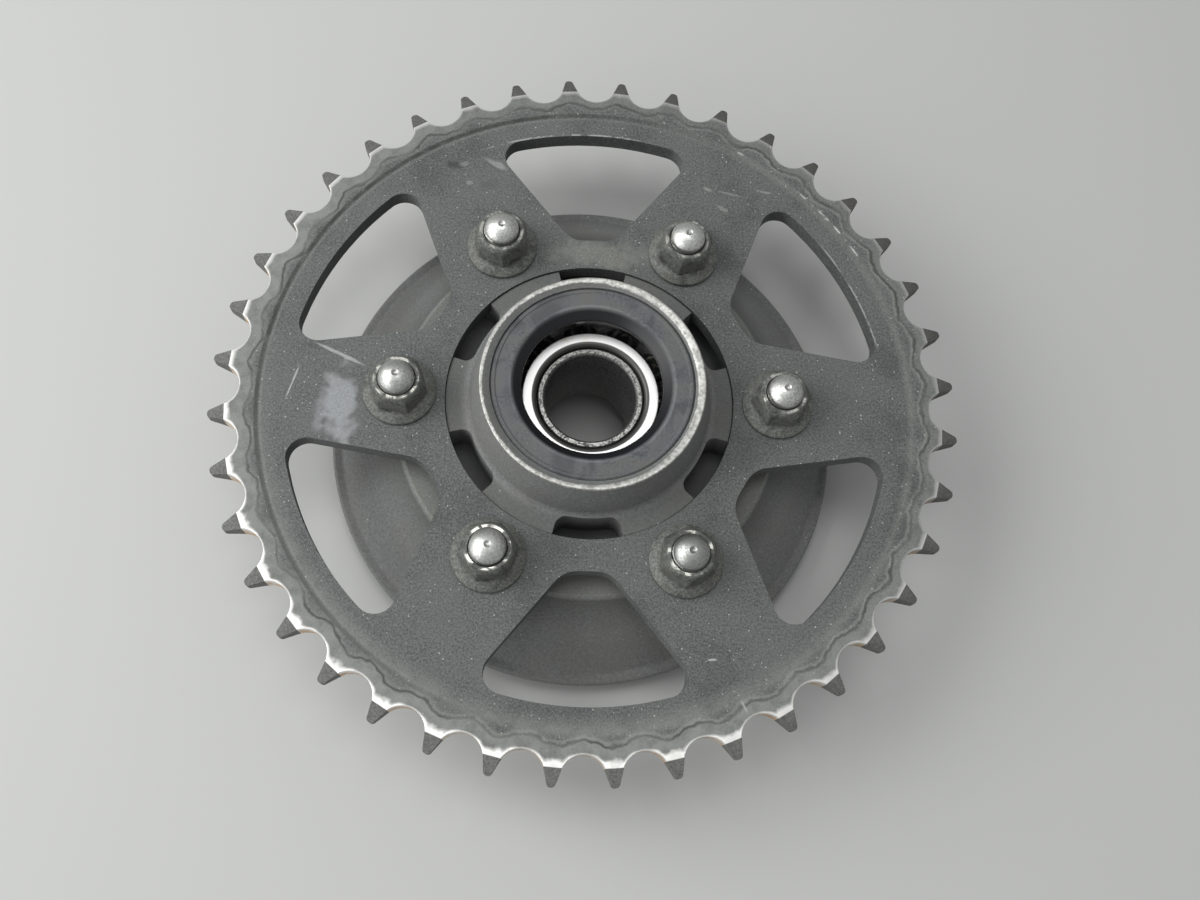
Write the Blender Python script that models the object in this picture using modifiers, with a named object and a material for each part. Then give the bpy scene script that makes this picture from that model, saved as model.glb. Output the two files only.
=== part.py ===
"""A motorcycle's rear sprocket, bolted to its cush-drive carrier with the seal, bearing and sleeve in place.

Metres, +Z up. The wheel's axis is Z, the damper paddles stand on Z = 0, and one stud lies on +X.
"""

from math import acos, atan2, cos, pi, radians, sin, sqrt, tan

import bmesh
import bpy
from mathutils import Matrix, Vector

# Clearance between pieces that seat on or in each other
FIT_GAP = 0.0003

# Chain and teeth
TOOTH_COUNT = 40
CHAIN_PITCH = 0.015875
ROLLER_DIAMETER = 0.01016
ROLLER_CLEARANCE = 0.00015
ROOT_HALF_ANGLE = radians(68)
TOOTH_HEIGHT = 0.0086
TOOTH_TIP_THICKNESS = 0.0026
TOOTH_CHAMFER_LENGTH = 0.0045

# Sprocket plate
SPROCKET_THICKNESS = 0.0058
RIM_STEP_WIDTH = 0.0039
RIM_STEP_SLOPE = 0.0018
RIM_STEP_DEPTH = 0.0005
RIM_BAND_WIDTH = 0.0115
INNER_RING_WIDTH = 0.0087
SPOKE_COUNT = 6
SPOKE_WIDTH_AT_STUDS = 0.036
SPOKE_WIDTH_AT_RIM = 0.0259
WINDOW_OUTER_FILLET = 0.0055
WINDOW_INNER_FILLET = 0.008
WINDOW_LEAST_WIDTH = 0.006

# Ball bearing
BEARING_BORE = 0.030
BEARING_SECTION = 0.0125
BEARING_WIDTH = 0.013
BALL_COUNT = 11
BALL_DIAMETER = 0.007144
RACE_SPACING = 0.0047
RACE_CHAMFER = 0.0012
CAGE_WIDTH = 0.0026
CAGE_THICKNESS = 0.0008

# Spacer sleeve
SLEEVE_WALL = 0.00195
SLEEVE_HEAD_WIDTH = 0.0033
SLEEVE_SETBACK = 0.001
SLEEVE_TAIL = 0.019
SLEEVE_CHAMFER = 0.0006

# Dust seal
SEAL_WIDTH = 0.007
SEAL_RECESS = 0.001
SEAL_WALL = 0.0019
SEAL_FACE_WIDTH = 0.0055
SEAL_LIP_REACH = 0.0077
SEAL_LIP_DROP = 0.0026
SEAL_CORNER = 0.0005

# Carrier casting, outwards from the hub
HUB_WALL = 0.0054
NOSE_DRAFT = 0.0026
NOSE_RIM_WIDTH = 0.0017
MOUTH_CHAMFER_DEPTH = 0.0008
BEARING_SHOULDER = 0.0033
LAND_WIDTH = 0.0068
LAND_CHAMFER = 0.0006
HUB_FILLET = 0.0035
STUD_SETBACK = 0.0127
FLANGE_WIDTH = 0.015
FLANGE_EDGE_RADIUS = 0.002
SKIRT_SPREAD = 0.0202
SKIRT_WALL = 0.006
RIM_LIP_WIDTH = 0.003
RIM_LIP_CHAMFER = 0.001

# Carrier casting, upwards from the paddle tips
RIM_CLEARANCE = 0.004
RIM_LIP_THICKNESS = 0.004
SKIRT_HEIGHT = 0.0208
FLANGE_THICKNESS = 0.008
BOSS_STANDOUT = 0.0035
LAND_HEIGHT = 0.005
NOSE_HEIGHT = 0.0193
BEARING_RECESS = 0.0118
HUB_TAIL = 0.013

# Pockets between the lands, stud bosses and damper paddles
POCKET_HALF_ANGLE = radians(14)
POCKET_SETBACK = 0.0013
POCKET_WIDTH = 0.012
POCKET_DEPTH = 0.004
POCKET_FILLET = 0.003
BOSS_WALL = 0.0057
BOSS_FLOOR = 0.003
BOSS_ROOT = 0.002
PADDLE_THICKNESS = 0.012
PADDLE_RIM_GAP = 0.010
PADDLE_ROOT = 0.002
PADDLE_EDGE_RADIUS = 0.0015

# Studs and flange nuts
STUD_DIAMETER = 0.010
STUD_DEPTH = 0.017
STUD_STANDOUT = 0.0137
STUD_END_CHAMFER = 0.0012
STUD_CENTRE_MARK = 0.0011
NUT_WALL = 0.002
NUT_FLANGE_WIDTH = 0.005
NUT_FLANGE_EDGE = 0.001
NUT_FLANGE_HEIGHT = 0.003
NUT_HEX_HEIGHT = 0.0074
NUT_HEIGHT = 0.010
NUT_COLLAR_WALL = 0.0013
NUT_TURN = radians(17)

# How finely round shapes are divided
PLATE_STEPS = 80
CARRIER_STEPS = 48
BEARING_STEPS = 32
STUD_STEPS = 10
NUT_STEPS = 15
BALL_SEGMENTS = 10
BALL_RINGS = 6
ARC_STEPS = 4
CAGE_STEPS = 3 * BALL_COUNT
POCKET_SIDES = 12
CUT_MARGIN = 0.002

# Radii that follow, from the bearing outwards
bearing_radius = BEARING_BORE / 2 + BEARING_SECTION
pitch_radius = BEARING_BORE / 2 + BEARING_SECTION / 2
bearing_bore_wall = bearing_radius + FIT_GAP
hub_radius = bearing_bore_wall + HUB_WALL
nose_radius = hub_radius - NOSE_DRAFT
pilot_radius = hub_radius + LAND_WIDTH
sprocket_bore = pilot_radius + FIT_GAP
stud_circle = pilot_radius + STUD_SETBACK
flange_radius = pilot_radius + FLANGE_WIDTH
rim_radius = flange_radius + SKIRT_SPREAD
chain_radius = CHAIN_PITCH / (2 * sin(pi / TOOTH_COUNT))
root_arc_radius = ROLLER_DIAMETER / 2 + ROLLER_CLEARANCE
root_radius = chain_radius - root_arc_radius
tip_radius = root_radius + TOOTH_HEIGHT
stud_hole_radius = STUD_DIAMETER / 2 + FIT_GAP

# Heights that follow, from the paddle tips upwards
rim_top = RIM_CLEARANCE + RIM_LIP_THICKNESS
flange_face = rim_top + SKIRT_HEIGHT
flange_back = flange_face - FLANGE_THICKNESS
seat_face = flange_face + BOSS_STANDOUT
land_top = seat_face + LAND_HEIGHT
nose_top = seat_face + NOSE_HEIGHT
bearing_top = nose_top - BEARING_RECESS
bearing_middle = bearing_top - BEARING_WIDTH / 2
sprocket_bottom = seat_face + FIT_GAP
sprocket_top = sprocket_bottom + SPROCKET_THICKNESS

for leftover in list(bpy.data.objects):
    bpy.data.objects.remove(leftover)

parts = bpy.data.collections.new("rear_sprocket")
cutters = bpy.data.collections.new("cutters")
bpy.context.scene.collection.children.link(parts)
bpy.context.scene.collection.children.link(cutters)


def axis_empty(name, height, parent=None):
    """An empty on the wheel's axis that carries the pieces of one rigid body."""
    empty = bpy.data.objects.new(name, None)
    empty.empty_display_size = hub_radius
    empty.location.z = height
    empty.parent = parent
    parts.objects.link(empty)
    return empty


def finish(name, colour, roughness, metallic):
    """A plain material of one colour."""
    material = bpy.data.materials.new(name)
    material.use_nodes = True
    shader = material.node_tree.nodes["Principled BSDF"]
    shader.inputs["Base Color"].default_value = (*colour, 1)
    shader.inputs["Roughness"].default_value = roughness
    shader.inputs["Metallic"].default_value = metallic
    return material


def part(name, mesh, material, parent, location=(0, 0, 0), turn=0):
    """One piece of the assembly, at its place on the body that carries it."""
    piece = bpy.data.objects.new(name, mesh)
    if not mesh.materials:
        mesh.materials.append(material)
    piece.parent = parent
    piece.location = location
    piece.rotation_euler.z = turn
    parts.objects.link(piece)
    return piece


def cutter(name, mesh):
    """A hidden helper for the Booleans."""
    helper = bpy.data.objects.new(name, mesh)
    helper.hide_render = True
    helper.display_type = "WIRE"
    cutters.objects.link(helper)
    return helper


def combine(piece, operation, helper):
    """A Boolean that stays live on the piece."""
    change = piece.modifiers.new(helper.name, "BOOLEAN")
    change.operation = operation
    change.object = helper


def frozen(piece):
    """The piece's evaluated mesh, for copies to share. The piece itself goes away."""
    bpy.context.view_layer.update()
    evaluated = piece.evaluated_get(bpy.context.evaluated_depsgraph_get())
    mesh = bpy.data.meshes.new_from_object(evaluated)
    mesh.name = piece.name
    bpy.data.objects.remove(piece)
    return mesh


def profile_mesh(name, profile, closed=True):
    """Edges through the (radius, height) points of a turned shape."""
    shape = bmesh.new()
    points = [shape.verts.new((radius, 0, height)) for radius, height in profile]
    following = points[1:] + points[:1] if closed else points[1:]
    for first, second in zip(points, following):
        shape.edges.new((first, second))
    mesh = bpy.data.meshes.new(name)
    shape.to_mesh(mesh)
    shape.free()
    return mesh


def turn_about_axis(piece, steps):
    """Spins a profile into a solid."""
    screw = piece.modifiers.new("Turn", "SCREW")
    screw.axis = "Z"
    screw.steps = screw.render_steps = steps
    screw.use_merge_vertices = True
    screw.merge_threshold = 0.00001
    return piece


def extrude_outline(shape, outline, low, high):
    """Adds a prism over a flat outline to a bmesh."""
    face = shape.faces.new([shape.verts.new((x, y, low)) for x, y in outline])
    raised = bmesh.ops.extrude_face_region(shape, geom=[face])["geom"]
    top = [item for item in raised if isinstance(item, bmesh.types.BMVert)]
    bmesh.ops.translate(shape, vec=(0, 0, high - low), verts=top)
    bmesh.ops.recalc_face_normals(shape, faces=shape.faces)


def spread_round_axis(shape, count):
    """Fills the circle with copies of what a bmesh holds."""
    bmesh.ops.spin(
        shape,
        geom=shape.verts[:] + shape.edges[:] + shape.faces[:],
        axis=(0, 0, 1),
        angle=2 * pi * (count - 1) / count,
        steps=count - 1,
        use_duplicate=True,
    )


def finished_mesh(name, shape):
    """Turns a bmesh into a mesh and frees it."""
    mesh = bpy.data.meshes.new(name)
    shape.to_mesh(mesh)
    shape.free()
    return mesh


def prisms_round_axis(name, outline, low, high, count):
    """Equal prisms round the axis, as one mesh."""
    shape = bmesh.new()
    extrude_outline(shape, outline, low, high)
    spread_round_axis(shape, count)
    return finished_mesh(name, shape)


def arc(centre, radius, start, end, steps=ARC_STEPS):
    """Points along an arc, both ends included."""
    angles = [start + (end - start) * step / steps for step in range(steps + 1)]
    return [(centre[0] + radius * cos(angle), centre[1] + radius * sin(angle)) for angle in angles]


def turned_to(outline, angle):
    """A flat outline turned about the axis."""
    turn = Matrix.Rotation(angle, 2)
    return [tuple(turn @ Vector(point)) for point in outline]


def rollers_on_pitch_circle(name, radius, length):
    """Radial cylinders where the balls sit, about the bearing's middle."""
    place = Matrix.Translation((pitch_radius, 0, 0)) @ Matrix.Rotation(pi / 2, 4, "Y")
    shape = bmesh.new()
    bmesh.ops.create_cone(
        shape,
        cap_ends=True,
        segments=POCKET_SIDES,
        radius1=radius,
        radius2=radius,
        depth=length,
        matrix=place,
    )
    spread_round_axis(shape, BALL_COUNT)
    return finished_mesh(name, shape)


def tooth_gap_outline():
    """The gap that one chain roller seats in, on +X: a root arc, then straight flanks past the tips."""
    root = arc((chain_radius, 0), root_arc_radius, pi - ROOT_HALF_ANGLE, pi + ROOT_HALF_ANGLE, 6)
    start_x, start_y = root[0]
    end_x = tip_radius + CUT_MARGIN / 2
    end_y = start_y + (end_x - start_x) / tan(ROOT_HALF_ANGLE)
    return root + [(end_x, -end_y), (end_x, end_y)]


def window_outline(inner, outer):
    """One window of the sprocket, on +X, between the straight sides of two spokes."""
    between = pi / SPOKE_COUNT
    half_at_studs = SPOKE_WIDTH_AT_STUDS / 2
    taper = (SPOKE_WIDTH_AT_RIM / 2 - half_at_studs) / (outer - stud_circle)
    along = Vector((cos(between), sin(between)))
    across = Vector((-sin(between), cos(between)))
    start = along * stud_circle - across * half_at_studs
    side = (along - across * taper).normalized()
    outward = Vector((-side.y, side.x))

    least_half = WINDOW_LEAST_WIDTH / 2
    inner = max(inner, start.x + (least_half - start.y) * side.x / side.y)
    corner_y = start.y + (inner - start.x) * side.y / side.x
    half_bend = tan(acos(side.y) / 2)
    inner_fillet = min(WINDOW_INNER_FILLET, 0.9 * corner_y / half_bend)
    inner_centre = (inner + inner_fillet, corner_y - inner_fillet * half_bend)

    base = start - outward * WINDOW_OUTER_FILLET
    reach = outer - WINDOW_OUTER_FILLET
    travel = -base.dot(side) + sqrt(base.dot(side) ** 2 - base.length_squared + reach**2)
    outer_centre = base + side * travel

    side_angle = atan2(outward.y, outward.x)
    end_angle = atan2(outer_centre.y, outer_centre.x)
    upper = arc(inner_centre, inner_fillet, pi, side_angle)
    upper += arc(outer_centre, WINDOW_OUTER_FILLET, side_angle, end_angle)
    upper += arc((0, 0), outer, end_angle, 0, 2 * ARC_STEPS)[1:]
    lower = [(x, -y) for x, y in reversed(upper[:-1])]
    return upper + lower


def build_sprocket(material, parent):
    """A turned disc with chamfered rim, cut by the tooth gaps, the windows and the stud holes."""
    middle = sprocket_bottom + SPROCKET_THICKNESS / 2
    web_top = sprocket_top - RIM_STEP_DEPTH
    step_radius = root_radius - RIM_STEP_WIDTH
    chamfer_radius = tip_radius - TOOTH_CHAMFER_LENGTH
    profile = [
        (sprocket_bore, web_top),
        (step_radius - RIM_STEP_SLOPE, web_top),
        (step_radius, sprocket_top),
        (chamfer_radius, sprocket_top),
        (tip_radius, middle + TOOTH_TIP_THICKNESS / 2),
        (tip_radius, middle - TOOTH_TIP_THICKNESS / 2),
        (chamfer_radius, sprocket_bottom),
        (sprocket_bore, sprocket_bottom),
    ]
    # Half a step off the tooth and window middles, so that no cut runs along an edge of the disc
    blank = profile_mesh("sprocket", profile)
    blank.transform(Matrix.Rotation(pi / PLATE_STEPS, 4, "Z"))
    sprocket = part("sprocket", blank, material, parent)
    turn_about_axis(sprocket, PLATE_STEPS)

    low = sprocket_bottom - CUT_MARGIN
    high = sprocket_top + CUT_MARGIN
    gaps = prisms_round_axis("tooth_gaps", tooth_gap_outline(), low, high, TOOTH_COUNT)
    combine(sprocket, "DIFFERENCE", cutter("tooth_gap_cutter", gaps))

    window = window_outline(sprocket_bore + INNER_RING_WIDTH, root_radius - RIM_BAND_WIDTH)
    window = turned_to(window, pi / SPOKE_COUNT)
    windows = prisms_round_axis("windows", window, low, high, SPOKE_COUNT)
    combine(sprocket, "DIFFERENCE", cutter("window_cutter", windows))

    hole = arc((stud_circle, 0), stud_hole_radius, 0, 2 * pi, STUD_STEPS)[:-1]
    holes = prisms_round_axis("sprocket_stud_holes", hole, low, high, SPOKE_COUNT)
    combine(sprocket, "DIFFERENCE", cutter("sprocket_stud_hole_cutter", holes))
    return sprocket


def carrier_profile():
    """The casting's turned form: nose, lands, flange, skirt and rim, then back inside to the bearing's seat."""
    lip_inner = rim_radius - RIM_LIP_WIDTH
    slope = atan2(lip_inner - flange_radius, flange_face - rim_top)
    edge_centre = (flange_radius - FLANGE_EDGE_RADIUS, flange_face - FLANGE_EDGE_RADIUS)
    skirt_inner_rim = lip_inner + RIM_LIP_THICKNESS * tan(slope) - SKIRT_WALL
    skirt_inner_top = skirt_inner_rim - (flange_back - RIM_CLEARANCE) * tan(slope)
    hub_end = flange_back - HUB_TAIL
    bore_floor = bearing_top - BEARING_WIDTH - FIT_GAP
    shoulder_bore = bearing_bore_wall - BEARING_SHOULDER
    fillet_centre = (hub_radius + HUB_FILLET, land_top + HUB_FILLET)
    return [
        (bearing_bore_wall, nose_top - MOUTH_CHAMFER_DEPTH),
        (nose_radius - NOSE_RIM_WIDTH, nose_top),
        (nose_radius, nose_top),
        *arc(fillet_centre, HUB_FILLET, pi, 1.5 * pi, 3),
        (pilot_radius - LAND_CHAMFER, land_top),
        (pilot_radius, land_top - LAND_CHAMFER),
        (pilot_radius, flange_face),
        *arc(edge_centre, FLANGE_EDGE_RADIUS, pi / 2, slope, 2),
        (lip_inner, rim_top),
        (rim_radius - RIM_LIP_CHAMFER, rim_top),
        (rim_radius, rim_top - RIM_LIP_CHAMFER),
        (rim_radius, RIM_CLEARANCE),
        (skirt_inner_rim, RIM_CLEARANCE),
        (skirt_inner_top, flange_back),
        (hub_radius, flange_back),
        (hub_radius, hub_end),
        (shoulder_bore, hub_end),
        (shoulder_bore, bore_floor),
        (bearing_bore_wall, bore_floor),
    ]


def paddle_mesh():
    """Six radial paddles with rounded edges, from the hub's wall out to the skirt."""
    inner = hub_radius - PADDLE_ROOT
    outer = rim_radius - PADDLE_RIM_GAP
    half = PADDLE_THICKNESS / 2
    outline = [(inner, -half), (outer, -half), (outer, half), (inner, half)]
    shape = bmesh.new()
    extrude_outline(shape, outline, 0, flange_back + PADDLE_ROOT)
    bmesh.ops.bevel(
        shape,
        geom=shape.edges[:],
        offset=PADDLE_EDGE_RADIUS,
        offset_type="OFFSET",
        segments=1,
        profile=0.5,
        affect="EDGES",
        material=-1,
    )
    spread_round_axis(shape, SPOKE_COUNT)
    return finished_mesh("paddles", shape)


def boss_outline(radius):
    """A stud boss on +X that runs in to the pilot lands."""
    inner = pilot_radius - BOSS_ROOT
    return [(inner, -radius)] + arc((stud_circle, 0), radius, -pi / 2, pi / 2, 2 * ARC_STEPS) + [(inner, radius)]


def pocket_outline():
    """The pocket between two lands, with its corners at the hub rounded."""
    inner = hub_radius + POCKET_SETBACK
    outer = inner + POCKET_WIDTH
    bend = POCKET_FILLET / (inner + POCKET_FILLET)
    corner_angle = POCKET_HALF_ANGLE - bend
    distance = inner + POCKET_FILLET
    upper_centre = (distance * cos(corner_angle), distance * sin(corner_angle))
    upper = arc((0, 0), inner, 0, corner_angle, 3)[1:-1]
    upper += arc(upper_centre, POCKET_FILLET, corner_angle + pi, corner_angle + pi / 2, 4)
    upper += arc((0, 0), outer, POCKET_HALF_ANGLE, 0, 3)
    lower = [(x, -y) for x, y in reversed(upper[:-1])]
    return upper + lower + [(inner, 0)]


def build_carrier(material, parent):
    """The turned casting, joined with its bosses and paddles, then cut by its pockets and stud holes."""
    carrier = part("carrier", profile_mesh("carrier", carrier_profile()), material, parent)
    turn_about_axis(carrier, CARRIER_STEPS)

    hole_floor = seat_face - STUD_DEPTH - FIT_GAP
    boss = boss_outline(stud_hole_radius + BOSS_WALL)
    bosses = prisms_round_axis("bosses", boss, hole_floor - BOSS_FLOOR, seat_face, SPOKE_COUNT)
    combine(carrier, "UNION", cutter("boss_tool", bosses))
    combine(carrier, "UNION", cutter("paddle_tool", paddle_mesh()))

    pocket = turned_to(pocket_outline(), pi / SPOKE_COUNT)
    pockets = prisms_round_axis(
        "pockets", pocket, flange_face - POCKET_DEPTH, nose_top + CUT_MARGIN, SPOKE_COUNT
    )
    combine(carrier, "DIFFERENCE", cutter("pocket_cutter", pockets))

    hole = arc((stud_circle, 0), stud_hole_radius, 0, 2 * pi, STUD_STEPS)[:-1]
    holes = prisms_round_axis("carrier_stud_holes", hole, hole_floor, seat_face + CUT_MARGIN, SPOKE_COUNT)
    combine(carrier, "DIFFERENCE", cutter("carrier_stud_hole_cutter", holes))
    return carrier


def stud_mesh():
    """A stud with a chamfered end and a centre mark, about its seat in the carrier."""
    radius = STUD_DIAMETER / 2
    top = SPROCKET_THICKNESS + FIT_GAP + STUD_STANDOUT
    profile = [
        (0, top - STUD_CENTRE_MARK),
        (STUD_CENTRE_MARK, top),
        (radius - STUD_END_CHAMFER, top),
        (radius, top - STUD_END_CHAMFER),
        (radius, STUD_END_CHAMFER - STUD_DEPTH),
        (radius - STUD_END_CHAMFER, -STUD_DEPTH),
        (0, -STUD_DEPTH),
    ]
    return frozen(turn_about_axis(cutter("stud", profile_mesh("stud_profile", profile, closed=False)), STUD_STEPS))


def nut_mesh():
    """A hexagon on a round flange, with a thin locking collar on top and a hole through it."""
    bore = stud_hole_radius
    hex_radius = (STUD_DIAMETER / 2 + NUT_WALL) / cos(pi / 6)
    flange_radius_low = STUD_DIAMETER / 2 + NUT_FLANGE_WIDTH
    collar_radius = bore + NUT_COLLAR_WALL
    shape = bmesh.new()
    extrude_outline(shape, arc((0, 0), hex_radius, 0, 2 * pi, 6)[:-1], NUT_FLANGE_EDGE, NUT_HEX_HEIGHT)
    nut = cutter("flange_nut", finished_mesh("nut_hexagon", shape))

    profile = [
        (0, NUT_HEIGHT),
        (collar_radius, NUT_HEIGHT),
        (collar_radius, NUT_FLANGE_HEIGHT),
        (hex_radius, NUT_FLANGE_HEIGHT),
        (flange_radius_low, NUT_FLANGE_EDGE),
        (flange_radius_low, 0),
        (0, 0),
    ]
    body = cutter("nut_body_tool", profile_mesh("nut_body", profile, closed=False))
    combine(nut, "UNION", turn_about_axis(body, NUT_STEPS))

    shape = bmesh.new()
    hole = arc((0, 0), bore, 0, 2 * pi, STUD_STEPS)[:-1]
    extrude_outline(shape, hole, -CUT_MARGIN, NUT_HEIGHT + CUT_MARGIN)
    combine(nut, "DIFFERENCE", cutter("nut_bore_cutter", finished_mesh("nut_bore", shape)))
    return frozen(nut)


def build_studs_and_nuts(stud_finish, nut_finish, parent):
    """Six studs in the carrier's bosses, each with its nut on the sprocket's face."""
    shared_stud = stud_mesh()
    shared_nut = nut_mesh()
    nut_seat = sprocket_top - RIM_STEP_DEPTH + FIT_GAP
    for index in range(SPOKE_COUNT):
        angle = 2 * pi * index / SPOKE_COUNT
        place = Vector((stud_circle * cos(angle), stud_circle * sin(angle), seat_face))
        part(f"stud_{index + 1}", shared_stud, stud_finish, parent, place)
        place.z = nut_seat
        part(f"flange_nut_{index + 1}", shared_nut, nut_finish, parent, place, NUT_TURN * index)


def build_seal(material, parent):
    """A moulded ring: a wall in the bore, a flat face, and a lip that slopes down to the collar."""
    radius = bearing_radius
    top = nose_top - SEAL_RECESS
    low = top - SEAL_WIDTH
    face_inner = radius - SEAL_FACE_WIDTH
    lip = radius - SEAL_LIP_REACH
    lip_top = top - SEAL_LIP_DROP
    under_face = top - SEAL_WALL
    profile = [
        (face_inner, top),
        (radius - SEAL_CORNER, top),
        (radius, top - SEAL_CORNER),
        (radius, low),
        (radius - SEAL_WALL, low),
        (radius - SEAL_WALL, under_face),
        (face_inner + SEAL_CORNER, under_face),
        (lip + SEAL_WALL / 2, lip_top - SEAL_WALL),
        (lip, lip_top - SEAL_WALL / 2),
        (lip, lip_top),
    ]
    seal = part("dust_seal", profile_mesh("dust_seal", profile), material, parent)
    return turn_about_axis(seal, BEARING_STEPS)


def build_races(material, fixed_parent, spinning_parent):
    """The two rings of the bearing, each with a groove for the balls, about the bearing's middle."""
    half = BEARING_WIDTH / 2
    groove = BALL_DIAMETER / 2 + FIT_GAP
    land = RACE_SPACING / 2
    opening = acos(land / groove)
    outer = [
        (pitch_radius + land, half),
        (bearing_radius - RACE_CHAMFER, half),
        (bearing_radius, half - RACE_CHAMFER),
        (bearing_radius, RACE_CHAMFER - half),
        (bearing_radius - RACE_CHAMFER, -half),
        (pitch_radius + land, -half),
        *arc((pitch_radius, 0), groove, -opening, opening),
    ]
    bore = BEARING_BORE / 2
    inner = [
        (bore + RACE_CHAMFER, half),
        (pitch_radius - land, half),
        *arc((pitch_radius, 0), groove, pi - opening, pi + opening),
        (pitch_radius - land, -half),
        (bore + RACE_CHAMFER, -half),
        (bore, RACE_CHAMFER - half),
        (bore, half - RACE_CHAMFER),
    ]
    middle = (0, 0, bearing_middle)
    outer_race = part("bearing_outer_race", profile_mesh("outer_race", outer), material, fixed_parent, middle)
    turn_about_axis(outer_race, BEARING_STEPS)
    inner_race = part("bearing_inner_race", profile_mesh("inner_race", inner), material, spinning_parent)
    turn_about_axis(inner_race, BEARING_STEPS)


def build_cage_half(name, side, material, parent):
    """One wavy half of the ribbon cage: flat between the balls, cupped round each of them."""
    pocket = BALL_DIAMETER / 2 + FIT_GAP
    inner = pitch_radius - CAGE_WIDTH / 2
    outer = pitch_radius + CAGE_WIDTH / 2
    flat_low = FIT_GAP / 2
    flat_high = flat_low + CAGE_THICKNESS
    reach = pocket + CAGE_THICKNESS + CUT_MARGIN

    def ring(low, high, spare):
        bottom, top = sorted((side * low, side * high))
        left, right = inner - spare, outer + spare
        return [(left, top), (right, top), (right, bottom), (left, bottom)]

    blank = ring(-CAGE_THICKNESS, flat_high, CAGE_THICKNESS)
    half = part(name, profile_mesh(name, blank), material, parent)
    turn_about_axis(half, CAGE_STEPS)
    cup_length = CAGE_WIDTH + 3 * CAGE_THICKNESS
    cup_mesh = rollers_on_pitch_circle(name + "_cups", pocket + CAGE_THICKNESS, cup_length)
    cups = cutter(name + "_cup_tool", cup_mesh)
    combine(half, "UNION", cups)
    strip = cutter(name + "_strip_tool", profile_mesh(name + "_strip", ring(flat_low, reach, 0)))
    combine(half, "INTERSECT", turn_about_axis(strip, CAGE_STEPS))
    pocket_mesh = rollers_on_pitch_circle(name + "_pockets", pocket, cup_length + CUT_MARGIN)
    pockets = cutter(name + "_pocket_cutter", pocket_mesh)
    combine(half, "DIFFERENCE", pockets)
    for tool in (cups, strip, pockets):
        tool.location.z = bearing_middle


def build_balls(material, parent):
    """The balls, one object each, on the pitch circle."""
    shape = bmesh.new()
    bmesh.ops.create_uvsphere(
        shape, u_segments=BALL_SEGMENTS, v_segments=BALL_RINGS, radius=BALL_DIAMETER / 2
    )
    mesh = finished_mesh("bearing_ball", shape)
    mesh.shade_smooth()
    for index in range(BALL_COUNT):
        angle = 2 * pi * index / BALL_COUNT
        place = (pitch_radius * cos(angle), pitch_radius * sin(angle), 0)
        part(f"bearing_ball_{index + 1:02d}", mesh, material, parent, place, angle)


def build_sleeve(material, parent):
    """The tube inside the inner race, with a head that backs the race on the wheel's side."""
    radius = BEARING_BORE / 2 - FIT_GAP
    bore = radius - SLEEVE_WALL
    head = radius + SLEEVE_HEAD_WIDTH
    top = BEARING_WIDTH / 2 - SLEEVE_SETBACK
    head_top = -BEARING_WIDTH / 2 - FIT_GAP
    low = -BEARING_WIDTH / 2 - SLEEVE_TAIL
    profile = [
        (bore + SLEEVE_CHAMFER, top),
        (radius - SLEEVE_CHAMFER / 2, top),
        (radius, top - SLEEVE_CHAMFER / 2),
        (radius, head_top),
        (head, head_top),
        (head, low + SLEEVE_CHAMFER),
        (head - SLEEVE_CHAMFER, low),
        (bore + SLEEVE_CHAMFER, low),
        (bore, low + SLEEVE_CHAMFER),
        (bore, top - SLEEVE_CHAMFER),
    ]
    sleeve = part("spacer_sleeve", profile_mesh("spacer_sleeve", profile), material, parent)
    return turn_about_axis(sleeve, BEARING_STEPS)


carrier_axis = axis_empty("carrier_axis", 0)
inner_race_axis = axis_empty("inner_race_axis", bearing_middle, carrier_axis)
ball_cage_axis = axis_empty("ball_cage_axis", bearing_middle, carrier_axis)

black_paint = finish("black_paint_on_steel", (0.055, 0.056, 0.055), 0.6, 0.0)
cast_paint = finish("black_paint_on_casting", (0.05, 0.05, 0.048), 0.65, 0.0)
stud_steel = finish("zinc_plated_stud", (0.55, 0.55, 0.53), 0.35, 1.0)
nut_steel = finish("grimy_nut_steel", (0.14, 0.14, 0.12), 0.5, 0.9)
seal_rubber = finish("nitrile_rubber", (0.045, 0.045, 0.045), 0.7, 0.0)
bearing_steel = finish("ground_bearing_steel", (0.62, 0.62, 0.62), 0.2, 1.0)
cage_steel = finish("pressed_cage_steel", (0.25, 0.23, 0.2), 0.45, 1.0)
sleeve_steel = finish("turned_sleeve_steel", (0.4, 0.4, 0.39), 0.4, 1.0)

build_carrier(cast_paint, carrier_axis)
build_sprocket(black_paint, carrier_axis)
build_studs_and_nuts(stud_steel, nut_steel, carrier_axis)
build_seal(seal_rubber, carrier_axis)
build_races(bearing_steel, carrier_axis, inner_race_axis)
build_cage_half("bearing_cage_upper", 1, cage_steel, ball_cage_axis)
build_cage_half("bearing_cage_lower", -1, cage_steel, ball_cage_axis)
build_balls(bearing_steel, ball_cage_axis)
build_sleeve(sleeve_steel, inner_race_axis)
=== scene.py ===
"""A motorcycle's rear sprocket on its cush-drive carrier.

Metres, with +Z up along the wheel's axis. Named sizes are in millimetres, and MM turns them into metres.
"""

from math import acos, atan2, cos, pi, radians, sin, sqrt, tan

import bmesh
import bpy
from mathutils import Matrix, Quaternion, Vector


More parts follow.
